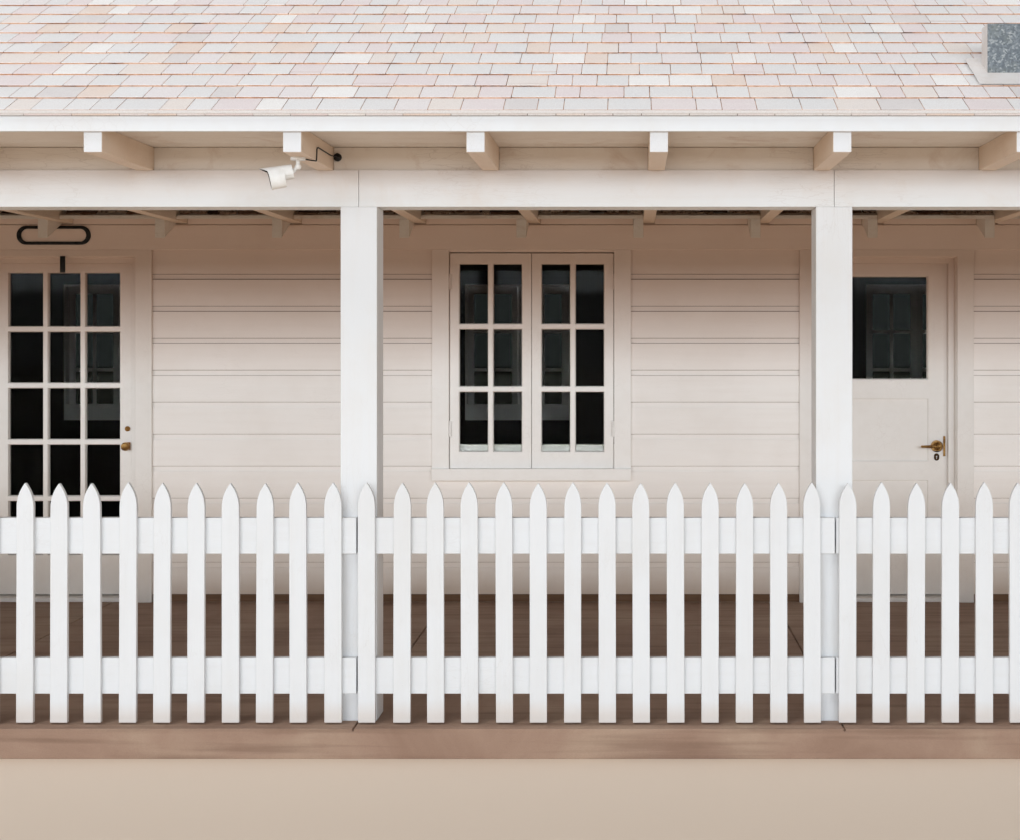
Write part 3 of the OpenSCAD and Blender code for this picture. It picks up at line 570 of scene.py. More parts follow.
@dataclass(frozen=True)
class BareTimber(Finish):
    """Bare sawn or worn boards: matt and streaked along the grain."""

    roughness: float = 0.8
    bump_t: float = 1 * MM
    colour: str = "#8A6B4E"
    dark: str = "#4A3524"
    grain: Grain = Grain.ALONG_X

    def surface(self, tree: Tree, coords: Socket) -> Inputs:
        """See base class."""
        along = add_node(tree, "Mapping", {"Vector": coords, "Scale": self.grain.value})
        fibre = add_node(tree, "TexNoise", {"Vector": along, "Scale": per(9 * MM), "Detail": 6.0,
                                            "Roughness": 0.65})
        grain = add_node(tree, "Mix", {AMOUNT: fibre, UNDER: self.dark, OVER: self.colour},
                         **COLOURS)
        colour, _ = lay_patches(tree, along, 60 * MM, [(0.35, 0.0), (0.7, 0.7)], grain,
                                self.dark, Detail=3.0, Distortion=0.4)
        return {"Base Color": colour, "Height": fibre}


@dataclass(frozen=True)
class SplinteredBoards(Finish):
    """Broken ends of old boards, each in its own state: flaking paint, grey wood or nearly black."""

    bump: float = 0.8
    bump_t: float = 2 * MM

    def surface(self, tree: Tree, coords: Socket) -> Inputs:
        """See base class."""
        tone = add_node(tree, "Attribute", out="Fac", attribute_name="tone")
        states = add_node(tree, "ValToRGB", {"Fac": tone}, [
            (0.0, "#38291F"), (0.22, "#7A5A44"), (0.45, "#A98A74"), (0.7, "#C9B29F"),
            (1.0, "#DCCAB9")])
        colour, flakes = lay_patches(tree, coords, 18 * MM, [(0.5, 0.0), (0.58, 0.8)], states,
                                     "#5E4130", Detail=6.0, Roughness=0.7)
        return {"Base Color": colour, "Height": flakes}


@dataclass(frozen=True)
class WornConcrete(Finish):
    """Broomed concrete worn by feet and rain: a brown dusty skin over grey, with
    stains, fine sand grain and the faint lines of the broom along the front."""

    roughness: float = 0.82
    bump_t: float = 0.8 * MM
    colour: str = "#9C8271"
    dust: str = "#B09A86"
    dark: str = "#836858"

    def surface(self, tree: Tree, coords: Socket) -> Inputs:
        """See base class."""
        stains = add_node(tree, "TexNoise", {"Vector": coords, "Scale": per(0.8), "Detail": 8.0,
                                             "Roughness": 0.62, "Distortion": 0.5})
        tones = add_node(tree, "ValToRGB", {"Fac": stains},
                         [(0.3, self.dark), (0.5, self.colour), (0.72, self.dust)])
        colour, sand = lay_patches(tree, coords, 3 * MM, [(0.35, 0.32), (0.6, 0.0)], tones,
                                   self.dark, Detail=2.0)
        along = add_node(tree, "Mapping", {"Vector": coords, "Scale": Grain.ALONG_X.value})
        colour, broom = lay_patches(tree, along, 45 * MM, [(0.5, 0.0), (0.66, 0.4)], colour,
                                    "#6A5244", Detail=3.0)
        relief = add_node(tree, "Math", {0: broom, 1: -1.5, 2: sand}, operation="MULTIPLY_ADD")
        return {"Base Color": colour, "Height": relief}


@dataclass(frozen=True)
class ShingleFace(Finish):
    """Sun-bleached fibre-cement shingles: chalky, each one pinkish, grey, cream or
    nearly white, with faint long fibres and pale lichen clouds."""

    specular: float = 0.2
    bump: float = 0.4

    def surface(self, tree: Tree, coords: Socket) -> Inputs:
        """See base class."""
        tone = add_node(tree, "Attribute", out="Fac", attribute_name="tone")
        palette = add_node(tree, "ValToRGB", {"Fac": tone}, [
            (0.0, "#E5E4E4"), (0.22, "#E9E8E8"), (0.42, "#EAE4E4"), (0.62, "#E8DDDD"),
            (0.8, "#EBE2DC"), (0.88, "#EAD9CE"), (0.92, "#F5F3F1"), (0.97, "#DED9D8")])
        palette.node.color_ramp.interpolation = "CONSTANT"
        colour, _ = lay_patches(tree, coords, 0.12, [(0.4, 0.0), (0.7, 0.4)], palette,
                                "#EBE6E3", Detail=6.0, Roughness=0.6)
        colour, fibre = lay_patches(tree, coords, 5 * MM, [(0.35, 0.2), (0.6, 0.0)], colour,
                                    "#B5A69E", Detail=4.0)
        return {"Base Color": colour, "Height": fibre}


@dataclass(frozen=True)
class ShingleButt(Finish):
    """Cut lower edges and joints of the shingles, where dust settles and lichen grows: pale tan
    and pinkish, with darker stretches. The tan is lifted bright to offset the shade in the narrow
    joints, which is painted light."""

    roughness: float = 0.9
    specular: float = 0.2

    def surface(self, tree: Tree, coords: Socket) -> Inputs:
        """See base class."""
        stretches = add_node(tree, "TexNoise", {"Vector": coords, "Scale": per(0.16),
                                                "Detail": 7.0, "Roughness": 0.75})
        tones = add_node(tree, "ValToRGB", {"Fac": stretches}, [
            (0.34, "#6E5140"), (0.44, "#A87A5C"), (0.55, "#CDA285"), (0.72, "#DCBBA4")])
        grit = add_node(tree, "TexNoise", {"Vector": coords, "Scale": per(4 * MM), "Detail": 3.0})
        return {"Base Color": tones, "Height": grit}


@dataclass(frozen=True)
class WindowGlass(Finish):
    """Old flat window panes in front of an unlit room, with a faint unevenness that bends what it
    mirrors: clear glass with a little dust in the doors and the front windows, and glass tinted
    near black in the others, which is painted shade of the room behind it. The index is low,
    because outdoors they mirror dark trees and here a white studio."""

    roughness: float = 0.02
    bump: float = 0.15
    bump_t: float = 1 * MM
    tint: str = "#F6F7F5"
    dust_and_shade: str = "#E8EBE8"
    ior: float = 1.1

    def surface(self, tree: Tree, coords: Socket) -> Inputs:
        """See base class."""
        waves = add_node(tree, "TexNoise", {"Vector": coords, "Scale": per(0.15), "Detail": 1.0})
        colour = add_node(tree, "Mix", {AMOUNT: waves, UNDER: self.tint, OVER: self.dust_and_shade},
                          **COLOURS)
        return {"Base Color": colour, "Height": waves, "Transmission Weight": 1.0,
                "IOR": self.ior}


@dataclass(frozen=True)
class AgedMetal(Finish):
    """Cast or drawn metal with handling wear: bright where hands rub it and dull in
    the hollows."""

    roughness: float = 0.32
    metallic: float = 1.0
    bump: float = 0.2
    bump_t: float = 0.3 * MM
    bright: str = "#B08A4E"
    dull: str = "#5E452A"
    patch: float = 12 * MM

    def surface(self, tree: Tree, coords: Socket) -> Inputs:
        """See base class."""
        wear = add_node(tree, "TexNoise", {"Vector": coords, "Scale": per(self.patch),
                                           "Detail": 5.0, "Roughness": 0.6})
        tones = add_node(tree, "ValToRGB", {"Fac": wear}, [(0.35, self.dull), (0.6, self.bright)])
        gloss = add_node(tree, "MapRange", {"Value": wear, "To Min": self.roughness + 0.15,
                                            "To Max": self.roughness - 0.1})
        return {"Base Color": tones, "Roughness": gloss, "Height": wear}


@dataclass(frozen=True)
class GalvanisedSheet(Finish):
    """Hot-dip galvanised steel sheet: flat zinc crystals under a centimetre across,
    each with its own grey and gloss."""

    metallic: float = 0.75
    bump: float = 0.15
    bump_t: float = 0.3 * MM
    spangle: float = 7 * MM

    def surface(self, tree: Tree, coords: Socket) -> Inputs:
        """See base class."""
        crystals = add_node(tree, "TexVoronoi", {"Vector": coords, "Scale": per(self.spangle)},
                            out="Color")
        grey = add_node(tree, "SeparateColor", {"Color": crystals}, out="Red")
        tones = add_node(tree, "ValToRGB", {"Fac": grey}, [
            (0.0, "#6E777F"), (0.4, "#7E878F"), (0.75, "#939CA3"), (1.0, "#BCC2C6")])
        colour, _ = lay_patches(tree, coords, 60 * MM, [(0.5, 0.0), (0.75, 0.45)], tones,
                                "#8F9488", Detail=5.0)
        gloss = add_node(tree, "MapRange", {"Value": grey, "To Min": 0.42, "To Max": 0.6})
        return {"Base Color": colour, "Roughness": gloss, "Height": grey}


@dataclass(frozen=True)
class Moulded(Finish):
    """Moulded plastic or rubber with a fine tool texture and a little dust."""

    roughness: float = 0.38
    bump: float = 0.2
    bump_t: float = 0.1 * MM
    colour: str = "#ECECEA"
    dust: str = "#D2CEC8"

    def surface(self, tree: Tree, coords: Socket) -> Inputs:
        """See base class."""
        colour, _ = lay_patches(tree, coords, 50 * MM, [(0.45, 0.0), (0.75, 0.6)], self.colour,
                                self.dust, Detail=5.0)
        texture = add_node(tree, "TexNoise", {"Vector": coords, "Scale": per(1.5 * MM),
                                              "Detail": 1.0})
        return {"Base Color": colour, "Height": texture}


@dataclass(frozen=True)
class StudioFloor(Finish):
    """Plain pale floor of the studio, whose far part the camera sees white."""

    roughness: float = 0.9
    colour: str = "#E9D9C8"
    near: float = 12.0
    far: float = 24.0

    def surface(self, tree: Tree, coords: Socket) -> Inputs:
        """See base class."""
        return {"Base Color": self.colour}

    def cover(self, tree: Tree, coords: Socket, shader: Socket) -> Socket:
        """See base class."""
        away = add_node(tree, "VectorMath", {0: coords}, out="Value", operation="LENGTH")
        fade = add_node(tree, "MapRange", {"Value": away, "From Min": self.near,
                                           "From Max": self.far},
                        interpolation_type="SMOOTHSTEP")
        seen = add_node(tree, "LightPath", out="Is Camera Ray")
        amount = add_node(tree, "Math", {0: fade, 1: seen}, operation="MULTIPLY")
        white = add_node(tree, "Emission", {"Color": "#FFFFFF"})
        return add_node(tree, "MixShader", {0: amount, 1: shader, 2: white})


# White gloss paint kept up on the parts that the sun reaches
POST_PAINT = PaintedTimber("post_oil_paint", colour="#DFE1E3", grain=Grain.ALONG_Z)
# The beam turns tan towards its top: dust and painted shade under the eave
BEAM_PAINT = PaintedTimber("beam_oil_paint", colour="#DFE1E2", grain=Grain.ALONG_X,
                           smudge="#D4CCC4", stain="#C9B39C", stain_amount=0.2,
                           crack_amount=0.16, eave_shade_from=2.24, eave_shade_to=2.45, eave_shade_amount=0.4)
TRIM_PAINT = PaintedTimber("trim_oil_paint", colour="#DEE0E2")
JOIST_PAINT = PaintedTimber("joist_oil_paint", colour="#DBDCDE", grain=Grain.ALONG_Y,
                            crack_amount=0.22, stain="#B9906A", stain_amount=0.22)
RAIL_PAINT = PaintedTimber("rail_oil_paint", colour="#DCDEE0", smudge="#D1CFCC",
                           grain=Grain.ALONG_X, crack_amount=0.08)
PICKET_PAINT = replace(RAIL_PAINT, name="picket_oil_paint", grain=Grain.ALONG_Z,
                       splash_height=0.19, splash_fade=0.06, splash_amount=0.35)
# Under the roof: the joists' sides take a tanner copy of the joist paint, which is painted shade
JOIST_SIDE_SHADE_PAINT = replace(JOIST_PAINT, name="joist_side_painted_shade", colour="#DCC8B4",
                           smudge="#CDB39C")
# An older, tanner coat on the boards under the roof, partly painted shade, which rust and tannin
# have marked
PORCH_PAINT_AND_SHADE = PaintedTimber("porch_paint_and_shade", colour="#DCD3C9", smudge="#C9B7A6",
                            crack="#7A5E4A", stain="#A07049", stain_amount=0.4,
                            crack_amount=0.22, grain=Grain.ALONG_X, roughness=0.6)
# Walls, casings and doors turn tan towards the top: dust and painted shade
WALL_PAINT = PaintedTimber("siding_oil_paint", colour="#F3EEE9", smudge="#E4DCD4",
                           grain=Grain.ALONG_X, crack_amount=0.06, splash_height=0.24,
                           eave_shade_amount=0.5)
CASING_PAINT = PaintedTimber("casing_oil_paint", colour="#F6F3EF", smudge="#E8E2DB",
                             eave_shade_amount=0.5)
DOOR_PAINT = PaintedTimber("door_oil_paint", colour="#EAE6E1", smudge="#DBD4CC", eave_shade_amount=0.5)
# Darker copies of the wall and casing paints for the end walls, which stand in more light: painted
# shade
END_SHADE_PAINT = PaintedTimber("end_wall_painted_shade", colour="#E6E2DD", smudge="#D8D1CA",
                          grain=Grain.ALONG_Y, crack_amount=0.06, splash_height=0.24)
END_CASING_SHADE_PAINT = PaintedTimber("end_casing_painted_shade", colour="#E9E6E2", smudge="#DEDAD5")
# Near-black paint in the room behind the panes: painted shade of an unlit room
ROOM_SHADE_PAINT = PaintedTimber("room_painted_shade", colour="#141312", smudge="#0F0E0D",
                           crack_amount=0.02)
SAWN_BOARDS = BareTimber("sawn_timber")
# Dark floor boards of the room: painted shade of the unlit room
SHADED_FLOOR_BOARDS = BareTimber("floor_timber_in_painted_shade", colour="#32261D", dark="#211912", roughness=0.6)
# Dark tan for the insides of the siding's seams: dirt and painted shade
SEAM_DIRT_AND_SHADE = BareTimber("seam_dirt_and_shade_timber", colour="#94775F", dark="#6B503D", roughness=0.9)
SPLINTERS = SplinteredBoards("splintered_timber")
CONCRETE = WornConcrete("worn_concrete")
PLINTH = WornConcrete("plinth_concrete", colour="#B9AA9B", dust="#CDBFB0", dark="#97877A")
SHINGLE = ShingleFace("fibre_cement_shingle")
# Tan of the shingles' edges, lifted to offset the shade in the joints: dust and painted light
SHINGLE_EDGE_DUST_AND_LIGHT = ShingleButt("shingle_edge_dust_and_light")
GLASS = WindowGlass("window_glass")
# Near-black tint for the panes away from the front: painted shade of the room behind them
SHADE_TINTED_GLASS = WindowGlass("shade_tinted_window_glass", tint="#171A19", dust_and_shade="#1F2322")
BRASS = AgedMetal("aged_brass", bright="#DDB473", dull="#966D3F", roughness=0.25,
                  patch=45 * MM)
BRONZE = AgedMetal("dark_bronze", bright="#6A5138", dull="#2A1F17", roughness=0.4)
STEEL = AgedMetal("aged_steel", bright="#8D8A86", dull="#5C5550", roughness=0.42)
IRON = AgedMetal("painted_iron", bright="#2B2A29", dull="#121212", metallic=0.6,
                 roughness=0.5, patch=30 * MM)
ZINC = GalvanisedSheet("galvanised_sheet")
FLASHING = PaintedTimber("painted_flashing", colour="#DEDAD8", smudge="#C9C0BA",
                         crack_amount=0.15, stain="#B49A84", stain_amount=0.35)
PLASTIC = Moulded("white_plastic")
SHEATH = Moulded("black_rubber", colour="#141414", dust="#2C2A28", roughness=0.5)
# Dark lens front, and the hood's inside darkened as painted shade
LENS_AND_HOOD_SHADE = Moulded("lens_and_hood_shade_plastic", colour="#08090A", dust="#101112", roughness=0.08)
PALE_FLOOR = StudioFloor("studio_floor")


def coat(mesh: bpy.types.Mesh, finishes: Sequence[Finish]) -> None:
    """Gives a mesh one material slot for each finish."""
    for finish in finishes:
        mesh.materials.append(finish.material())


def settle(piece: Piece, finishes: Sequence[Finish], nodes: Sequence[str] = (),
           body: Body = Body.HOUSE) -> None:
    """Gives a finished piece its materials and the body that it rides on.

    Args:
        piece: Mesh object in its place.
        finishes: One finish for each material slot of the mesh.
        nodes: CAD nodes that the piece stands for.
        body: Body that carries the piece.
    """
    if not piece.data.materials:
        coat(piece.data, finishes)
    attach(piece, body.value)
    for node in nodes:
        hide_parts(node)
    log.info("%s: %d faces", piece.name, len(piece.data.polygons))


def dress(node: str, finish: Finish) -> None:
    """Gives a CAD node that keeps its own shape a finish.

    Args:
        node: Name of the CAD node.
        finish: Its finish.
    """
    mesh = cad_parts[node].data
    mesh.materials.clear()
    coat(mesh, [finish])
    log.info("%s: dressed", node)


@dataclass
class EasedParts:
    """CAD nodes whose shape is right, each copied with its sharp edges rounded."""

    edge: float = 3 * MM
    trim_edge: float = 1.2 * MM
    beam_edge: float = 0.5 * MM
    plinth_edge: float = 8 * MM

    def build(self) -> None:
        """Copies and dresses each node. The joists' sides take a tanner copy of the joist paint,
        as painted shade.
        """
        for node, finish, slot, edge in (
                ("porch_posts", POST_PAINT, "trim_paint", self.edge),
                ("end_beams", JOIST_PAINT, "trim_paint", self.edge),
                ("joist_blocking", PORCH_PAINT_AND_SHADE, "porch_paint", self.edge),
                ("soffit_boards", PORCH_PAINT_AND_SHADE, "porch_paint", self.edge),
                ("roof_rafters", PORCH_PAINT_AND_SHADE, "porch_paint", self.edge),
                ("ridge_board", PORCH_PAINT_AND_SHADE, "porch_paint", self.edge),
                ("old_rafters", PORCH_PAINT_AND_SHADE, "porch_paint", self.edge),
                ("frieze_boards", WALL_PAINT, "porch_paint", self.edge),
                ("corner_boards", POST_PAINT, "trim_paint", self.edge),
                ("fascia_boards", TRIM_PAINT, "trim_paint", self.trim_edge),
                ("barge_boards", TRIM_PAINT, "trim_paint", self.trim_edge),
                ("porch_beam", BEAM_PAINT, "trim_paint", self.beam_edge),
                ("foundation", PLINTH, "concrete", self.plinth_edge)):
            settle(copy_of(node, f"eased_{node}", edge), [finish], [node])
        joists = copy_of("roof_joists", "eased_roof_joists", self.edge)
        # Faces that don't look to the front take the tanner copy of the paint: painted shade
        sort_faces(joists, lambda face: face.normal.y > -0.5)
        settle(joists, [JOIST_PAINT, JOIST_SIDE_SHADE_PAINT], ["roof_joists"])


@dataclass
class PorchSlab:
    """Worn concrete porch floor, cast in bays with tooled joints between them."""

    joint_w: float = 8 * MM
    joint_d: float = 10 * MM
    bays: int = 6
    edge: float = 3 * MM
    reach: float = 1.0

    def build(self) -> None:
        """Cuts the joints, rounds the edges and dresses the slab."""
        low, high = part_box("porch_floor")
        slab = copy_of("porch_floor", "porch_slab")
        cutters = []
        for bay in range(1, self.bays):
            x = low.x + bay * (high.x - low.x) / self.bays
            cutters.append(add_box(
                "joint", (x - self.joint_w / 2, low.y - self.reach, high.z - self.joint_d),
                (x + self.joint_w / 2, high.y + self.reach, high.z + self.reach)))
        cut_away(slab, cutters)
        ease(slab, self.edge)
        settle(slab, [CONCRETE], ["porch_floor"])


@dataclass
class Siding:
    """Channel siding on the outer walls: boards with a recessed strip at each joint, a thin crack
    under the lip of the upper board and, on the upper boards, a groove at the foot of the strip
    that widens towards the top. The insides of the crack and the groove are dark tan, which is
    dirt and painted shade."""

    pitch: float = 0.190
    strip: float = 33 * MM
    depth: float = 8 * MM
    first: float = 47 * MM
    crack: float = 2.5 * MM
    crack_depth: float = 13 * MM
    first_groove: int = 7
    groove_low: float = 1.5 * MM
    groove_high: float = 6 * MM
    groove_depth: float = 11.5 * MM
    foot: float = 40 * MM
    reach: float = 5 * MM
    overlap: float = 0.3 * MM
    play: float = 0.5 * MM

    def build(self) -> None:
        """Cuts the channels out of a copy of each wall."""
        low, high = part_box("foundation")
        for node in ("front_wall_left", "front_wall_middle", "front_wall_right"):
            self.clad(node, WALL_PAINT, 1, -1, low.y, high.z)
        for node in ("wall_over_left_door", "wall_over_right_door"):
            dress(node, WALL_PAINT)
        self.clad("back_wall", WALL_PAINT, 1, 1, high.y, high.z)
        # The end walls take the darker copy of the wall paint: painted shade
        self.clad("left_end_wall", END_SHADE_PAINT, 0, -1, -high.x, high.z)
        self.clad("right_end_wall", END_SHADE_PAINT, 0, 1, high.x, high.z)

    def clad(self, node: str, finish: Finish, axis: int, out: int, face: float,
             floor_z: float) -> None:
        """Cuts the channels of one wall and sorts its faces by finish.

        Args:
            node: Wall's CAD node.
            finish: Paint of the wall.
            axis: Axis across the wall, 0 for X and 1 for Y.
            out: 1 or -1, the way that the outer face looks along that axis.
            face: Place of the outer face on it.
            floor_z: Height of the floor, from which the boards are counted.
        """
        low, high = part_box(node)

        def slot(bottom: float, top: float, depth: float) -> Piece:
            """Models the cutter of one level slot, which runs past the wall's ends.

            Args:
                bottom: Height of the slot's lower edge.
                top: Height of its upper edge.
                depth: Its depth.

            Returns:
                The closed cutter.
            """
            start, end = low.copy(), high.copy()
            start[1 - axis] -= self.reach
            end[1 - axis] += self.reach
            start[axis], end[axis] = sorted((face - out * depth, face + out * self.reach))
            start.z, end.z = bottom, top
            return add_box("slot", start, end)

        wall = copy_of(node, f"siding_{node}")
        rows = int((high.z - floor_z) / self.pitch) + 1
        recesses, seams = [], []
        for row in range(rows):
            top = floor_z + self.first + row * self.pitch
            if top - self.strip > high.z - 2 * self.depth:
                continue
            bottom = top - self.strip if row else floor_z - self.depth
            recesses.append(slot(bottom, top, self.depth))
            seams.append(slot(top - self.crack, top + self.overlap, self.crack_depth))
            if row >= self.first_groove:
                rise = (row - self.first_groove) / (rows - self.first_groove)
                groove = self.groove_low + (self.groove_high - self.groove_low) * rise
                seams.append(slot(bottom - self.overlap, bottom + groove, self.groove_depth))
        cut_away(wall, recesses)
        cut_away(wall, seams)

        def finish_of(polygon: bpy.types.MeshPolygon) -> int:
            """Tells the inner face and the insides of the seams from painted faces.

            Args:
                polygon: A face of the wall.

            Returns:
                The number of its material slot.
            """
            sunk = (face - polygon.center[axis]) * out
            # Inner faces take the room's near-black paint: painted shade
            if polygon.normal[axis] * out < -0.9:
                return 2
            # Insides of the crack and the groove are dark tan, dirt and painted shade; the strip's
            # foot at the ground takes the same tan as dirt
            seam = self.depth + self.play < sunk < self.crack_depth + MM
            return int(seam or sunk > self.play and polygon.center.z < floor_z + self.foot)

        sort_faces(wall, finish_of)
        settle(wall, [finish, SEAM_DIRT_AND_SHADE, ROOM_SHADE_PAINT], [node])


@dataclass(frozen=True)
class RoofPlane:
    """One slope of the roof: its eave point on the boards and its directions."""

    origin: Vector
    along: Vector
    up: Vector
    length: float
    half_width: float

    def place(self, x: float, s: float = 0.0, n: float = 0.0, scale: Point = (1, 1, 1),
              turn: float = 0.0) -> Matrix:
        """Placing matrix on the slope.

        Args:
            x: Distance along the eave from the middle.
            s: Distance up the slope from the eave.
            n: Height above the boards.
            scale: Scale of the copy along, up and out of the slope.
            turn: Small turn in the plane of the slope.

        Returns:
            The matrix of a copy whose own axes are along, up and out.
        """
        out = self.along.cross(self.up)
        axes = Matrix((self.along, self.up, out)).transposed().to_4x4()
        spot = self.origin + self.along * x + self.up * s + out * n
        size = Matrix.Diagonal((*scale, 1.0))
        return Matrix.Translation(spot) @ axes @ Matrix.Rotation(turn, 4, "Z") @ size


@dataclass
class ShingleSlopes:
    """Fibre-cement shingles in courses on both slopes, and the capped ridge."""

    show: float = 128 * MM
    lap: float = 12 * MM
    butt: float = 9.5 * MM
    thin: float = 2.8 * MM
    worn: float = 1.5 * MM
    drip: float = 24 * MM
    joint: float = 2.5 * MM
    sunk: float = 6.5 * MM
    inset: float = 0.001
    starter_t: float = 15 * MM
    starter_slip: float = 2 * MM
    edge_h: float = 8 * MM
    widths: tuple[float, ...] = (95 * MM, 125 * MM, 160 * MM)
    width_play: Range = (0.96, 1.04)
    slips: Range = (-1.5 * MM, 2.0 * MM)
    sinks: Range = (0.0, 0.9 * MM)
    turns: Range = (-0.004, 0.004)
    starter_wide: float = 1.1
    board: float = 20 * MM
    angle: float = math.radians(30.25)
    cap_show: float = 0.25
    cap_end: float = 0.02
    cap_lap: float = 0.035
    cap_seat: float = 14 * MM
    cap_t: float = 7 * MM
    cap_rise: float = 5.6 * MM
    cap_trim: float = 4 * MM

    def build(self) -> None:
        """Lays both slopes and the ridge."""
        for node, side, seed in (("front_shingles", -1, 6), ("back_shingles", 1, 8)):
            self.lay(node, self.plane(side), Random(seed))
        self.cap_ridge(Random(11))
        for node in ("front_roof_boards", "back_roof_boards"):
            dress(node, SAWN_BOARDS)

    def plane(self, side: int) -> RoofPlane:
        """Works out a slope from the box of its boards.

        Args:
            side: -1 for the front, 1 for the back.

        Returns:
            The slope, with its origin on the boards at the eave.
        """
        low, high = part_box("front_roof_boards" if side < 0 else "back_roof_boards")
        eave_y = low.y if side < 0 else high.y
        rise = self.board / math.cos(self.angle)
        up = Vector((0, -side * math.cos(self.angle), math.sin(self.angle)))
        return RoofPlane(Vector((0, eave_y, low.z + rise)), Vector((-side, 0, 0)), up,
                         abs(eave_y) / math.cos(self.angle), high.x)

    def shingle(self) -> Piece:
        """Models one shingle, a metre wide, with its lower edge on the X axis.

        Returns:
            A tapered wedge with a worn lower edge, whose sides and butt have a
            material slot of their own.
        """
        piece = add_box("shingle", (-0.5, 0, 0), (0.5, self.show + self.lap, self.butt))
        drop = (self.butt - self.thin) * (self.show + self.lap) / self.show
        for vertex in piece.data.vertices:
            if vertex.co.y > self.show and vertex.co.z > self.thin:
                vertex.co.z -= drop
        for edge in piece.data.edges:
            ends = [piece.data.vertices[i].co for i in edge.vertices]
            edge.select = all(p.y < MM and p.z > self.thin for p in ends)
        select_only(piece)
        bpy.ops.object.mode_set(mode="EDIT")
        bpy.ops.mesh.select_mode(type="EDGE")
        bpy.ops.mesh.bevel(offset=self.worn, segments=1)
        leave_edit()
        coat(piece.data, [SHINGLE, SHINGLE_EDGE_DUST_AND_LIGHT])
        sort_faces(piece, lambda face: face.normal.z <= 0.5)
        return piece

    def lay(self, node: str, plane: RoofPlane, chance: Random) -> None:
        """Lays the courses of one slope over an underlay.

        Args:
            node: CAD node of the slope's shingles.
            plane: The slope.
            chance: Seeded source of widths, tilts and tones.
        """
        places, tones = [], []
        for course in range(math.ceil((plane.length + self.drip) / self.show)):
            start = course * self.show - self.drip
            reach = min(self.show + self.lap, plane.length - start)
            x = -plane.half_width
            while x < plane.half_width - MM:
                width = chance.choice(self.widths) * chance.uniform(*self.width_play)
                rest = plane.half_width - x - width
                if rest < self.widths[0] / 2:
                    width += rest
                slip = 0.0 if course == 0 else chance.uniform(*self.slips)
                sink = chance.uniform(*self.sinks)
                edge = x <= -plane.half_width or x + width >= plane.half_width - MM
                turn = 0.0 if edge or course == 0 else chance.uniform(*self.turns)
                stretch = (reach - max(slip, 0.0)) / (self.show + self.lap)
                places.append(plane.place(x + width / 2, start + slip, -sink,
                                          (width - self.joint, stretch, 1.0), turn))
                tones.append(chance.random())
                x += width
        courses = spread(self.shingle(), "courses", places, tones)
        settle(join([courses, self.starter(plane, chance)], f"laid_{node}"),
               [SHINGLE, SHINGLE_EDGE_DUST_AND_LIGHT], [node])
        underlay = copy_of(node, f"underlay_{node}")
        underlay.location.z = -self.sunk
        underlay.scale.x = 1 - self.inset
        apply_place(underlay)
        sort_faces(underlay, lambda face: face.center.z < plane.origin.z + self.edge_h)
        settle(underlay, [SHINGLE_EDGE_DUST_AND_LIGHT, SHINGLE])

    def starter(self, plane: RoofPlane, chance: Random) -> Piece:
        """Lays the short starter course that closes the eave under the first one.

        Args:
            plane: The slope.
            chance: Seeded source of widths and tones.

        Returns:
            The joined course.
        """
        piece = add_box("starter", (-0.5, 0, 0),
                        (0.5, self.drip - self.starter_slip, self.starter_t))
        for vertex in piece.data.vertices:
            if vertex.co.y > MM and vertex.co.z < MM:
                vertex.co.y -= self.starter_t * math.tan(self.angle)
        coat(piece.data, [SHINGLE])
        places, tones = [], []
        x = -plane.half_width
        while x < plane.half_width - MM:
            width = min(chance.choice(self.widths) * self.starter_wide,
                        plane.half_width - x)
            places.append(plane.place(x + width / 2, MM - self.drip, -self.starter_t,
                                      (width - self.joint, 1.0, 1.0)))
            tones.append(chance.random())
            x += width
        return spread(piece, "starter_course", places, tones)

    def cap_ridge(self, chance: Random) -> None:
        """Lays overlapping pairs of boards along the ridge, from right to left.

        Args:
            chance: Seeded source of tones.
        """
        low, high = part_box("ridge_cap")
        seat = Vector((0, 0, high.z - self.cap_seat / math.cos(self.angle) + MM))
        leaf = (high.y - low.y) / 2 / math.cos(self.angle)
        count = round((high.x - low.x) / self.cap_show)
        pitch = (high.x - low.x - 2 * self.cap_end) / count
        tilt = math.atan2(self.cap_rise, pitch)
        slopes = [(side, replace(self.plane(side), origin=seat)) for side in (-1, 1)]
        places, tones = [], []
        for index in range(count):
            x = low.x + self.cap_end + (index + 0.5) * pitch
            tone = chance.random()
            for side, slope in slopes:
                places.append(slope.place(-side * x) @ Matrix.Rotation(side * tilt, 4, "Y"))
                tones.append(tone)
        half = (pitch + self.cap_lap) / 2
        board = add_box("cap_board", (-half, -leaf + self.cap_trim, 0), (half, 0, self.cap_t))
        ease(board, self.worn, 1)
        settle(spread(board, "ridge_cap_boards", places, tones), [SHINGLE],
               ["ridge_cap"])


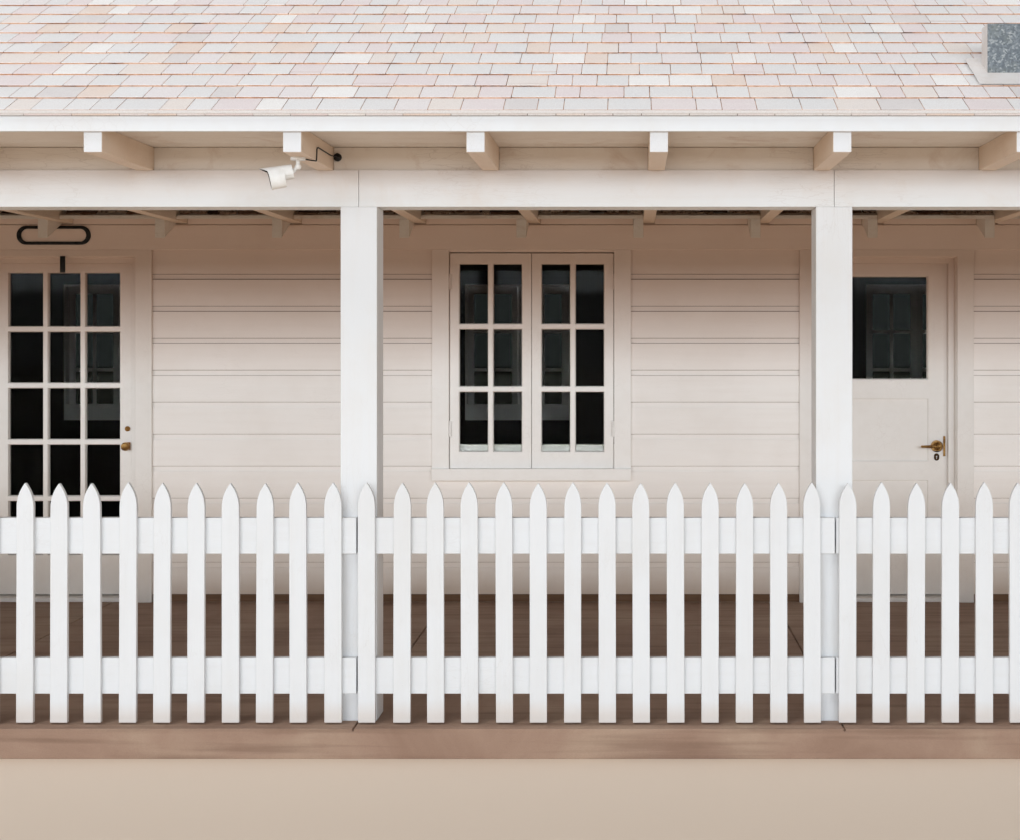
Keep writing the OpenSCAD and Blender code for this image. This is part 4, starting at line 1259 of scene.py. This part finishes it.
@dataclass
class OldEave:
    """Stump of the first roof over the wall: its boards and their broken ends."""

    board_t: float = 22 * MM
    lifts: tuple[float, ...] = (0.0, 13 * MM, 27 * MM)
    inset: float = 6 * MM
    step: float = 9 * MM
    gap: float = 2 * MM
    starts: Range = (2 * MM, 30 * MM)
    widths: Range = (45 * MM, 190 * MM)
    taper: float = 0.95
    depths: Range = (60 * MM, 120 * MM)
    thicks: Range = (8 * MM, 13 * MM)
    set_backs: Range = (0.0, 22 * MM)
    turns: Range = (-0.06, 0.06)
    slants: Range = (0.35, 0.51)
    gaps: tuple[float, ...] = (0.0, 3 * MM, 60 * MM)
    tone: float = 0.75
    tone_step: float = 0.2
    ragged: Range = (0.0, 0.2)
    warped: Range = (-0.12, 0.12)
    closer_t: float = 20 * MM
    closer_h: float = 111 * MM
    closer_lift: float = 3 * MM

    def build(self) -> None:
        """Dresses the boards and adds the broken ends over their front edge."""
        boards = copy_of("old_roof_boards", "old_eave_boards", 2 * MM, 1)
        settle(boards, [PORCH_PAINT_AND_SHADE], ["old_roof_boards"])
        self.close_gaps()
        edge_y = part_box("old_roof_boards")[0].y + self.inset
        edge_z = min(low.z for low, _ in solids("old_roof_boards")) + self.board_t
        joists = solids("roof_joists")
        chance = Random(23)
        places, tones = [], []
        for layer, lift in enumerate(self.lifts):
            for (_, left), (right, _) in zip(joists, joists[1:]):
                x = left.x + chance.uniform(*self.starts)
                while x < right.x - self.widths[0]:
                    width = min(chance.uniform(*self.widths), right.x - x - self.gap)
                    depth = chance.uniform(*self.depths)
                    y = edge_y + layer * self.step + chance.uniform(*self.set_backs)
                    turn = Matrix.Rotation(chance.uniform(*self.turns), 4, "Z")
                    slant = Matrix.Rotation(chance.uniform(*self.slants), 4, "X")
                    spot = Matrix.Translation((x + width / 2, y, edge_z + lift + self.gap))
                    size = Matrix.Diagonal((width * self.taper, depth,
                                            chance.uniform(*self.thicks), 1))
                    places.append(spot @ turn @ slant @ size)
                    tones.append(min(1.0, chance.random() * (self.tone + self.tone_step * layer)))
                    x += width + chance.choice(self.gaps) * layer
        ends = spread(self.splinter(), "old_eave_splinters", places, tones)
        settle(ends, [SPLINTERS])

    def close_gaps(self) -> None:
        """Sets a painted closer on the frieze between each joist and the next rafter."""
        low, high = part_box("frieze_boards")
        joists = [box[1].x for box in solids("roof_joists")]
        rafters = [box[0].x for box in solids("old_rafters") if box[0].y < low.y]
        closers = [add_box("closer", (left + MM, low.y + self.gap, high.z + self.closer_lift),
                           (right - MM, low.y + self.closer_t, high.z + self.closer_h))
                   for left, right in zip(joists, rafters[1:])]
        boards = join(closers, "old_eave_closers")
        ease(boards, 1.5 * MM, 1)
        settle(boards, [WALL_PAINT])

    def splinter(self) -> Piece:
        """Models one broken board end with a ragged front edge.

        Returns:
            A warped board of unit size.
        """
        piece = add_box("splinter", (-0.5, 0, 0), (0.5, 1, 1))
        pick_faces(piece)
        bpy.ops.mesh.subdivide(number_cuts=3)
        leave_edit()
        chance = Random(5)
        for vertex in piece.data.vertices:
            if vertex.co.y < 0.01:
                vertex.co.y += chance.uniform(*self.ragged)
            vertex.co.z += chance.uniform(*self.warped)
        return piece


@dataclass(frozen=True)
class Glazing:
    """Putty beads round the panes of one sheet of glass.

    Args:
        cols: Panes side by side.
        rows: Panes above each other.
        bar: Width of the glazing bars.
        bead: Width of the bead on the glass.
        stand: How far the bead stands off the glass.
        splay: Share of its width by which the bead's inner edge leans back.
    """

    cols: int
    rows: int
    bar: float = 28 * MM
    bead: float = 4 * MM
    stand: float = 10 * MM
    splay: float = 0.7

    def ring(self, width: float, height: float) -> Piece:
        """Models the bead of one pane in the XZ plane, facing -Y, glass at y = 0.

        Args:
            width: Width of the pane between its bars.
            height: Height of the pane.

        Returns:
            A closed sloping ring.
        """
        bpy.ops.mesh.primitive_plane_add(size=1, rotation=(math.pi / 2, 0, 0))
        bpy.context.object.scale = (width, height, 1)
        ring = take_up("bead")
        pick_faces(ring)
        bpy.ops.mesh.inset(thickness=self.bead, depth=0)
        bpy.ops.mesh.delete(type="FACE")
        bpy.ops.mesh.select_all(action="SELECT")
        bpy.ops.mesh.extrude_region_move(
            TRANSFORM_OT_translate={"value": (0, -self.stand, 0)})
        bpy.ops.mesh.select_all(action="SELECT")
        bpy.ops.mesh.normals_make_consistent(inside=False)
        leave_edit()
        limit_x, limit_z = width / 2 - self.bead / 2, height / 2 - self.bead / 2
        for vertex in ring.data.vertices:
            inner = abs(vertex.co.x) < limit_x and abs(vertex.co.z) < limit_z
            if inner and vertex.co.y < -MM:
                vertex.co.x *= 1 + self.bead * self.splay / abs(vertex.co.x)
                vertex.co.z *= 1 + self.bead * self.splay / abs(vertex.co.z)
        return ring

    def spans(self, length: float, count: int) -> list[tuple[float, float]]:
        """Works out where the panes lie along one side of the sheet.

        Args:
            length: Length of the side.
            count: Number of panes along it.

        Returns:
            Start and end of each pane.
        """
        step = length / count
        return [(i * step + (self.bar / 2 if i else 0),
                 (i + 1) * step - (self.bar / 2 if i < count - 1 else 0)) for i in range(count)]

    def beads(self, sheet: Box) -> list[Piece]:
        """Beads of every pane of one sheet, on both faces.

        Args:
            sheet: Box of the sheet of glass.

        Returns:
            The rings, in their places.
        """
        low, high = sheet
        size = high - low
        flat = int(size.x >= size.y)
        wide = 1 - flat
        rings = []
        for left, right in self.spans(size[wide], self.cols):
            for bottom, top in self.spans(size.z, self.rows):
                for side in (0, 1):
                    ring = self.ring(right - left, top - bottom)
                    centre = Vector((0, 0, low.z + (bottom + top) / 2))
                    centre[wide] = low[wide] + (left + right) / 2
                    centre[flat] = sheet[side][flat]
                    turn = math.pi * side - math.pi / 2 * wide
                    ring.matrix_world = Matrix.Translation(centre) @ Matrix.Rotation(turn, 4, "Z")
                    apply_place(ring)
                    rings.append(ring)
        return rings


@dataclass
class Windows:
    """Pairs of casement sashes in their frames, all round the house."""

    glazing: Glazing = Glazing(cols=2, rows=3)
    edge: float = 2.5 * MM
    stop_t: float = 14 * MM
    stop_h: float = 10 * MM
    stop_rise: float = 5 * MM
    end_reach: float = 200 * MM
    front_reach: float = 0.2

    def build(self) -> None:
        """Rounds the joinery, beads the panes and dresses glass and hinges."""
        low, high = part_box("window_frames")
        frames = copy_of("window_frames", "window_casings", self.edge)
        # Casings on the end walls take the darker copy of the casing paint: painted shade
        sort_faces(frames, lambda face: abs(face.center.x) > high.x - self.end_reach)
        settle(frames, [CASING_PAINT, END_CASING_SHADE_PAINT], ["window_frames"])
        settle(copy_of("window_sashes", "window_sash_timber", self.edge, 1), [CASING_PAINT],
               ["window_sashes"])
        beads = [ring for sheet in solids("window_glass") for ring in self.glazing.beads(sheet)]
        settle(join(beads, "window_putty"), [CASING_PAINT])
        for name, finish, front, nodes in (
                ("front_panes", GLASS, True, ["window_glass"]),
                # Panes away from the front are tinted near black: painted shade of the room behind
                # them
                ("other_panes", SHADE_TINTED_GLASS, False, [])):
            panes = copy_of("window_glass", name)
            pick_faces(panes, lambda face: front != (
                face.calc_center_median().y < low.y + self.front_reach))
            bpy.ops.mesh.delete(type="FACE")
            leave_edit()
            settle(panes, [finish], nodes)
        hinges = copy_of("window_hinges", "sash_butt_hinges")
        smooth(hinges)
        settle(hinges, [CASING_PAINT], ["window_hinges"])
        self.head_stops()

    def head_stops(self) -> None:
        """Sets a stop behind the head of each sash, which closes the gap over it."""
        low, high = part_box("foundation")
        middle = (low + high) / 2
        stops = []
        for first, last in solids("window_sashes"):
            size = last - first
            flat = int(size.x >= size.y)
            inward = math.copysign(1.0, middle[flat] - first[flat])
            face = last[flat] if inward > 0 else first[flat]
            start, end = first.copy(), last.copy()
            start[flat], end[flat] = sorted((face + inward * MM, face + inward * self.stop_t))
            start.z, end.z = last.z - self.stop_h, last.z + self.stop_rise
            stops.append(add_box("stop", start, end))
        settle(join(stops, "window_head_stops"), [CASING_PAINT])


@dataclass
class Doors:
    """The glazed left door and the half-glazed right door with their fittings."""

    edge: float = 2 * MM
    metal_edge: float = 0.8 * MM
    plate_h: float = 60 * MM
    rose_r: float = 36 * MM
    rose_t: float = 8 * MM
    dome_t: float = 40 * MM

    def build(self) -> None:
        """Builds both doors and their frames."""
        self.dress_door("left", Body.LEFT_DOOR, Glazing(cols=3, rows=5), "knob")
        self.dress_door("right", Body.RIGHT_DOOR, Glazing(cols=1, rows=1, bead=6 * MM), "lever")
        dress("hinge_plates", STEEL)

    def dress_door(self, side: str, body: Body, glazing: Glazing, handle: str) -> None:
        """Rounds one leaf, beads its panes and finishes its fittings.

        Args:
            side: Which door, as its nodes are named.
            body: Body that the leaf rides on.
            glazing: Panes of its glass.
            handle: Last word of its handle's node.
        """
        door = f"{side}_door"
        settle(copy_of(f"{door}_frame", f"{door}_casing", self.edge), [DOOR_PAINT],
               [f"{door}_frame"])
        settle(copy_of(f"{door}_leaf", f"{door}_timber", self.edge, 1), [DOOR_PAINT],
               [f"{door}_leaf"], body)
        beads = glazing.beads(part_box(f"{door}_glass"))
        settle(join(beads, f"{door}_putty"), [DOOR_PAINT], body=body)
        dress(f"{door}_glass", GLASS)
        dress(f"{door}_hinges", STEEL)
        node = f"{door}_{handle}"
        low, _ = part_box(node)
        lever = handle == "lever"
        furniture = copy_of(node, f"{door}_furniture", self.metal_edge, 1)
        if lever:
            furniture = join([furniture, *self.rose_domes(node, f"{door}_leaf")],
                             f"{door}_furniture")
        smooth(furniture)
        sort_faces(furniture, lambda face: lever and face.center.z < low.z + self.plate_h)
        settle(furniture, [BRASS, BRONZE], [node], body)

    def rose_domes(self, node: str, leaf: str) -> list[Piece]:
        """Models the domed covers of the lever's two roses.

        Args:
            node: CAD node of the lever.
            leaf: CAD node of the door's leaf.

        Returns:
            Both domes, each on the face of its rose.
        """
        leaf_low, leaf_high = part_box(leaf)
        domes = []
        for low, high in solids(node):
            if high.x - low.x <= 2 * self.rose_r:
                continue
            out = -1 if low.y + high.y < leaf_low.y + leaf_high.y else 1
            face = high.y - self.rose_t if out < 0 else low.y + self.rose_t
            bpy.ops.mesh.primitive_uv_sphere_add(
                segments=48, ring_count=24, radius=1,
                location=(high.x - self.rose_r, face, (low.z + high.z) / 2),
                scale=(self.rose_r, self.dome_t, self.rose_r))
            dome = take_up("dome")
            pick_faces(dome, lambda f: (f.calc_center_median().y - face) * out < 0)
            bpy.ops.mesh.delete(type="FACE")
            bpy.ops.mesh.select_all(action="SELECT")
            bpy.ops.mesh.region_to_loop()
            bpy.ops.mesh.edge_face_add()
            leave_edit()
            domes.append(dome)
        return domes


@dataclass
class PicketRailing:
    """White picket railing between the posts: hand-cut pickets nailed to two rails."""

    width: float = 70 * MM
    thick: float = 19 * MM
    foot: float = 8 * MM
    slip: float = 25 * MM
    top: float = 980 * MM
    point: float = 97 * MM
    tip: float = 1 * MM
    edge: float = 1.5 * MM
    rail_t: float = 38 * MM
    rail_h: float = 146 * MM
    rail_edge: float = 2.5 * MM
    rail_zs: Range = (120 * MM, 688 * MM)
    per_bay: int = 14
    shifts: Range = (-2.5 * MM, 2.5 * MM)
    leans: Range = (-0.004, 0.004)
    width_play: Range = (0.97, 1.0)
    height_play: Range = (0.994, 1.0)
    gap: float = 6 * MM
    levels: int = 7
    nail_r: float = 3.2 * MM
    nail_t: float = 1 * MM
    nail_sunk: float = 0.2 * MM
    nail_edge: float = 0.4 * MM
    nail_rows: Range = (0.28, 0.72)
    nail_shifts: Range = (-6 * MM, 6 * MM)

    def picket(self) -> Piece:
        """Models one picket with its foot on the XY plane and its back at y = 0.

        Returns:
            A board whose head is drawn in along two arcs.
        """
        straight = self.top - self.foot - self.point
        half = self.width / 2
        piece = add_box("picket", (-half, -self.thick, 0), (half, 0, straight))
        radius = (self.point ** 2 + half ** 2) / self.width
        step = self.point / self.levels
        pick_faces(piece, lambda face: face.normal.z > 0.9)
        for level in range(1, self.levels + 1):
            arc = math.sqrt(radius ** 2 - (level * step) ** 2)
            new_half = max(arc - radius + self.width / 2, self.tip)
            bpy.ops.mesh.extrude_region_move(TRANSFORM_OT_translate={"value": (0, 0, step)})
            bpy.ops.transform.resize(value=(new_half / half, 1, 1), center_override=(0, 0, 0))
            half = new_half
        leave_edit()
        ease(piece, self.edge, 1)
        return piece

    def nail(self) -> Piece:
        """Models one nail head.

        Returns:
            A head that faces -Y and stands a little out of the XZ plane.
        """
        bpy.ops.mesh.primitive_cylinder_add(
            vertices=8, radius=self.nail_r, depth=self.nail_t,
            location=(0, self.nail_sunk - self.nail_t / 2, 0), rotation=(math.pi / 2, 0, 0))
        head = take_up("nail")
        ease(head, self.nail_edge, 1)
        return head

    def build(self) -> None:
        """Sets the rails, the pickets and their nail heads."""
        posts = solids("porch_posts")
        floor_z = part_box("porch_floor")[1].z
        front = posts[0][0].y
        back = front - self.rail_t
        centres = [(low.x + high.x) / 2 for low, high in posts]
        chance = Random(3)
        rails, places, tones, nails = [], [], [], []
        for left, right in zip(centres, centres[1:]):
            for rail_z in self.rail_zs:
                foot = floor_z + rail_z
                rails.append(add_box("rail", (left + self.gap / 2, back, foot),
                                     (right - self.gap / 2, front, foot + self.rail_h)))
            step = (right - left) / self.per_bay
            for index in range(self.per_bay):
                x = left + (index + 0.5) * step - self.slip + chance.uniform(*self.shifts)
                lean = Matrix.Rotation(chance.uniform(*self.leans), 4, "Y")
                size = Matrix.Diagonal((chance.uniform(*self.width_play), 1,
                                        chance.uniform(*self.height_play), 1))
                spot = Matrix.Translation((x, back, floor_z + self.foot))
                places.append(spot @ lean @ size)
                tones.append(chance.random())
                for rail_z in self.rail_zs:
                    for share in self.nail_rows:
                        nails.append(Matrix.Translation((
                            x + chance.uniform(*self.nail_shifts), back - self.thick,
                            floor_z + rail_z + share * self.rail_h)))
        bars = join(rails, "picket_rails")
        ease(bars, self.rail_edge)
        settle(bars, [RAIL_PAINT])
        settle(spread(self.picket(), "pickets", places, tones), [PICKET_PAINT],
               ["picket_railing"])
        settle(spread(self.nail(), "picket_nails", nails, [0.5] * len(nails)),
               [PICKET_PAINT])


@dataclass
class Fittings:
    """Vent box, camera with its cable, and the bare sign frame over the left door."""

    edge: float = 1.5 * MM
    lens_turn: float = math.radians(15)
    housing_l: float = 85 * MM

    def build(self) -> None:
        """Builds every fitting. The vent's flange and ends are painted."""
        vent = copy_of("roof_vent_box", "vent_box", self.edge, 1)
        sort_faces(vent, lambda face: 0.5 < abs(face.normal.z) < 0.95
                   or abs(face.normal.x) > 0.9)
        settle(vent, [ZINC, FLASHING], ["roof_vent_box"])
        self.camera()
        sign = copy_of("door_sign", "sign_frame", self.edge)
        smooth(sign)
        settle(sign, [IRON], ["door_sign"])
        cable = copy_of("camera_cable", "camera_lead")
        smooth(cable, 60)
        settle(cable, [SHEATH], ["camera_cable"])

    def camera(self) -> None:
        """Rounds the camera's housing, with its lens front dark and the inside of its hood dark as
        painted shade.
        """
        body = copy_of("security_camera", "camera_housing")
        smooth(body, 30)
        looks = Vector((-math.cos(self.lens_turn), -math.sin(self.lens_turn), 0))
        window = max((face for face in body.data.polygons if face.normal.dot(looks) > 0.9),
                     key=lambda face: face.area)
        middle, axis = window.center.copy(), window.normal.copy()

        def dark(face: bpy.types.MeshPolygon) -> bool:
            """Tells the dark lens front and the inside of the hood, dark as painted shade, from
            the housing.

            Args:
                face: A face of the camera.

            Returns:
                Whether the face is dark.
            """
            reach = face.center - middle
            out = reach - axis * reach.dot(axis)
            inside = face.normal.dot(out) < -0.3 * out.length or face.normal.dot(axis) > 0.7
            return inside and reach.length < self.housing_l

        sort_faces(body, dark)
        settle(body, [PLASTIC, LENS_AND_HOOD_SHADE], ["security_camera"])


@dataclass
class Interior:
    """Floor and ceiling of the room, which show through the doors and windows."""

    def build(self) -> None:
        """Dresses the CAD nodes, whose shapes are right."""
        # Dark floor and near-black ceiling: painted shade of the unlit room
        dress("house_floor", SHADED_FLOOR_BOARDS)
        dress("ceiling_boards", ROOM_SHADE_PAINT)


@dataclass
class Studio:
    """Pale floor, soft lights and the camera at the photograph's viewing angle."""

    camera_at: Point = (1.1155, -9.8685, 1.675)
    lens: float = 50.15
    shift: Range = (-0.1196, -0.0784)
    view_far: float = 200.0
    floor_size: float = 160.0
    sky: float = 0.22
    sky_colour: str = "#FFF6EE"
    band_colour: str = "#EEF7FF"
    band_far: float = 60.0
    band_low: float = 4.0
    band_size: Range = (80.0, 13.0)
    front_power: float = 29000.0
    back_power: float = 20500.0
    end_power: float = 6000.0
    key_at: Point = (7.0, 14.0, 18.0)
    key_aim: Point = (0.0, 2.0, 2.5)
    key_size: Range = (9.0, 9.0)
    key_power: float = 1400.0
    bounce_colour: str = "#FFDCB8"
    bounce_power: float = 32.0
    bounce_aim: float = 9.0
    card_lift: float = 5 * MM
    card_share: float = 0.8
    yard_far: float = 3.5
    yard_deep: float = 6.0

    def build(self) -> None:
        """Sets up everything that isn't part of the house."""
        scene = bpy.context.scene
        scene.view_settings.view_transform = "Standard"
        self.set_camera(scene)
        self.set_world(scene)
        self.set_lights()
        bpy.ops.mesh.primitive_plane_add(size=self.floor_size)
        floor = take_up("studio_floor")
        coat(floor.data, [PALE_FLOOR])

    def set_camera(self, scene: bpy.types.Scene) -> None:
        """Places the camera, level and looking along +Y.

        Args:
            scene: The scene.
        """
        data = bpy.data.cameras.new("view")
        data.lens = self.lens
        data.sensor_width = 36.0
        data.shift_x, data.shift_y = self.shift
        data.clip_end = self.view_far
        view = put_in("view", data)
        view.location = self.camera_at
        view.rotation_euler = (math.pi / 2, 0, 0)
        scene.camera = view

    def set_world(self, scene: bpy.types.Scene) -> None:
        """Lights the scene evenly and shows white to the camera, metal and glass.

        Args:
            scene: The scene.
        """
        world = bpy.data.worlds.new("studio")
        world.use_nodes = True
        tree = world.node_tree
        tree.nodes.clear()
        seen = add_node(tree, "LightPath", out="Is Camera Ray")
        rays = seen.node.outputs
        for ray in ("Is Glossy Ray", "Is Transmission Ray"):
            seen = add_node(tree, "Math", {0: seen, 1: rays[ray]}, operation="MAXIMUM")
        lit = add_node(tree, "Background", {"Color": self.sky_colour, "Strength": self.sky})
        shown = add_node(tree, "Background", {"Color": "#FFFFFF", "Strength": 1.0})
        mixed = add_node(tree, "MixShader", {0: seen, 1: lit, 2: shown})
        plug(tree.nodes.new("ShaderNodeOutputWorld"), {"Surface": mixed})
        scene.world = world

    def set_lights(self) -> None:
        """Stands a wide far light low on each side, which reaches in under the porch
        roof, hangs a softer one high above each slope and lays two warm cards that
        stand for the light off the boards and the earth."""
        middle = self.band_low + self.band_size[1] / 2
        for name, x, y, power in (("front_band", 0, -1, self.front_power),
                                  ("back_band", 0, 1, self.back_power),
                                  ("left_band", -1, 0, self.end_power),
                                  ("right_band", 1, 0, self.end_power)):
            self.add_light(name, (x * self.band_far, y * self.band_far, middle),
                           (0.0, 0.0, middle), power, self.band_size, self.band_colour)
        for name, side in (("front_key", -1), ("back_key", 1)):
            turn = Matrix.Diagonal((side, side, 1))
            self.add_light(name, turn @ Vector(self.key_at), turn @ Vector(self.key_aim),
                           self.key_power, self.key_size)
        low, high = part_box("porch_floor")
        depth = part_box("foundation")[0].y - low.y
        for name, y, z, deep in (
                ("porch_bounce", low.y + depth / 2, high.z + self.card_lift,
                 self.card_share * depth),
                ("yard_bounce", low.y - self.yard_far, self.card_lift, self.yard_deep)):
            self.add_light(name, (0.0, y, z), (0.0, y, self.bounce_aim), self.bounce_power,
                           (high.x - low.x, deep), self.bounce_colour)

    def add_light(self, name: str, spot: Point, aim: Point, power: float,
                  size: tuple[float, float], colour: str = "#FFFFFF") -> None:
        """Hangs one rectangular light that mirrors and glass don't show.

        Args:
            name: Name of the light.
            spot: Place of its middle.
            aim: Point that it faces.
            power: Power in watts.
            size: Width and height.
            colour: Colour of its light.
        """
        data = bpy.data.lights.new(name, "AREA")
        data.shape = "RECTANGLE"
        data.energy = power
        data.color = linear(colour)[:3]
        data.size, data.size_y = size
        lamp = put_in(name, data)
        lamp.location = spot
        lamp.rotation_euler = (Vector(aim) - Vector(spot)).to_track_quat("-Z", "Y").to_euler()
        lamp.visible_camera = lamp.visible_glossy = False


def main() -> None:
    """Builds the house piece by piece and then the studio round it."""
    logging.basicConfig(level=logging.INFO, format="%(name)s %(message)s")
    for part in (Studio(), EasedParts(), PorchSlab(), Siding(), ShingleSlopes(), OldEave(),
                 Windows(), Doors(), PicketRailing(), Fittings(), Interior()):
        part.build()
        log.info("%s: done", type(part).__name__)


if __name__ == "__main__":
    main()
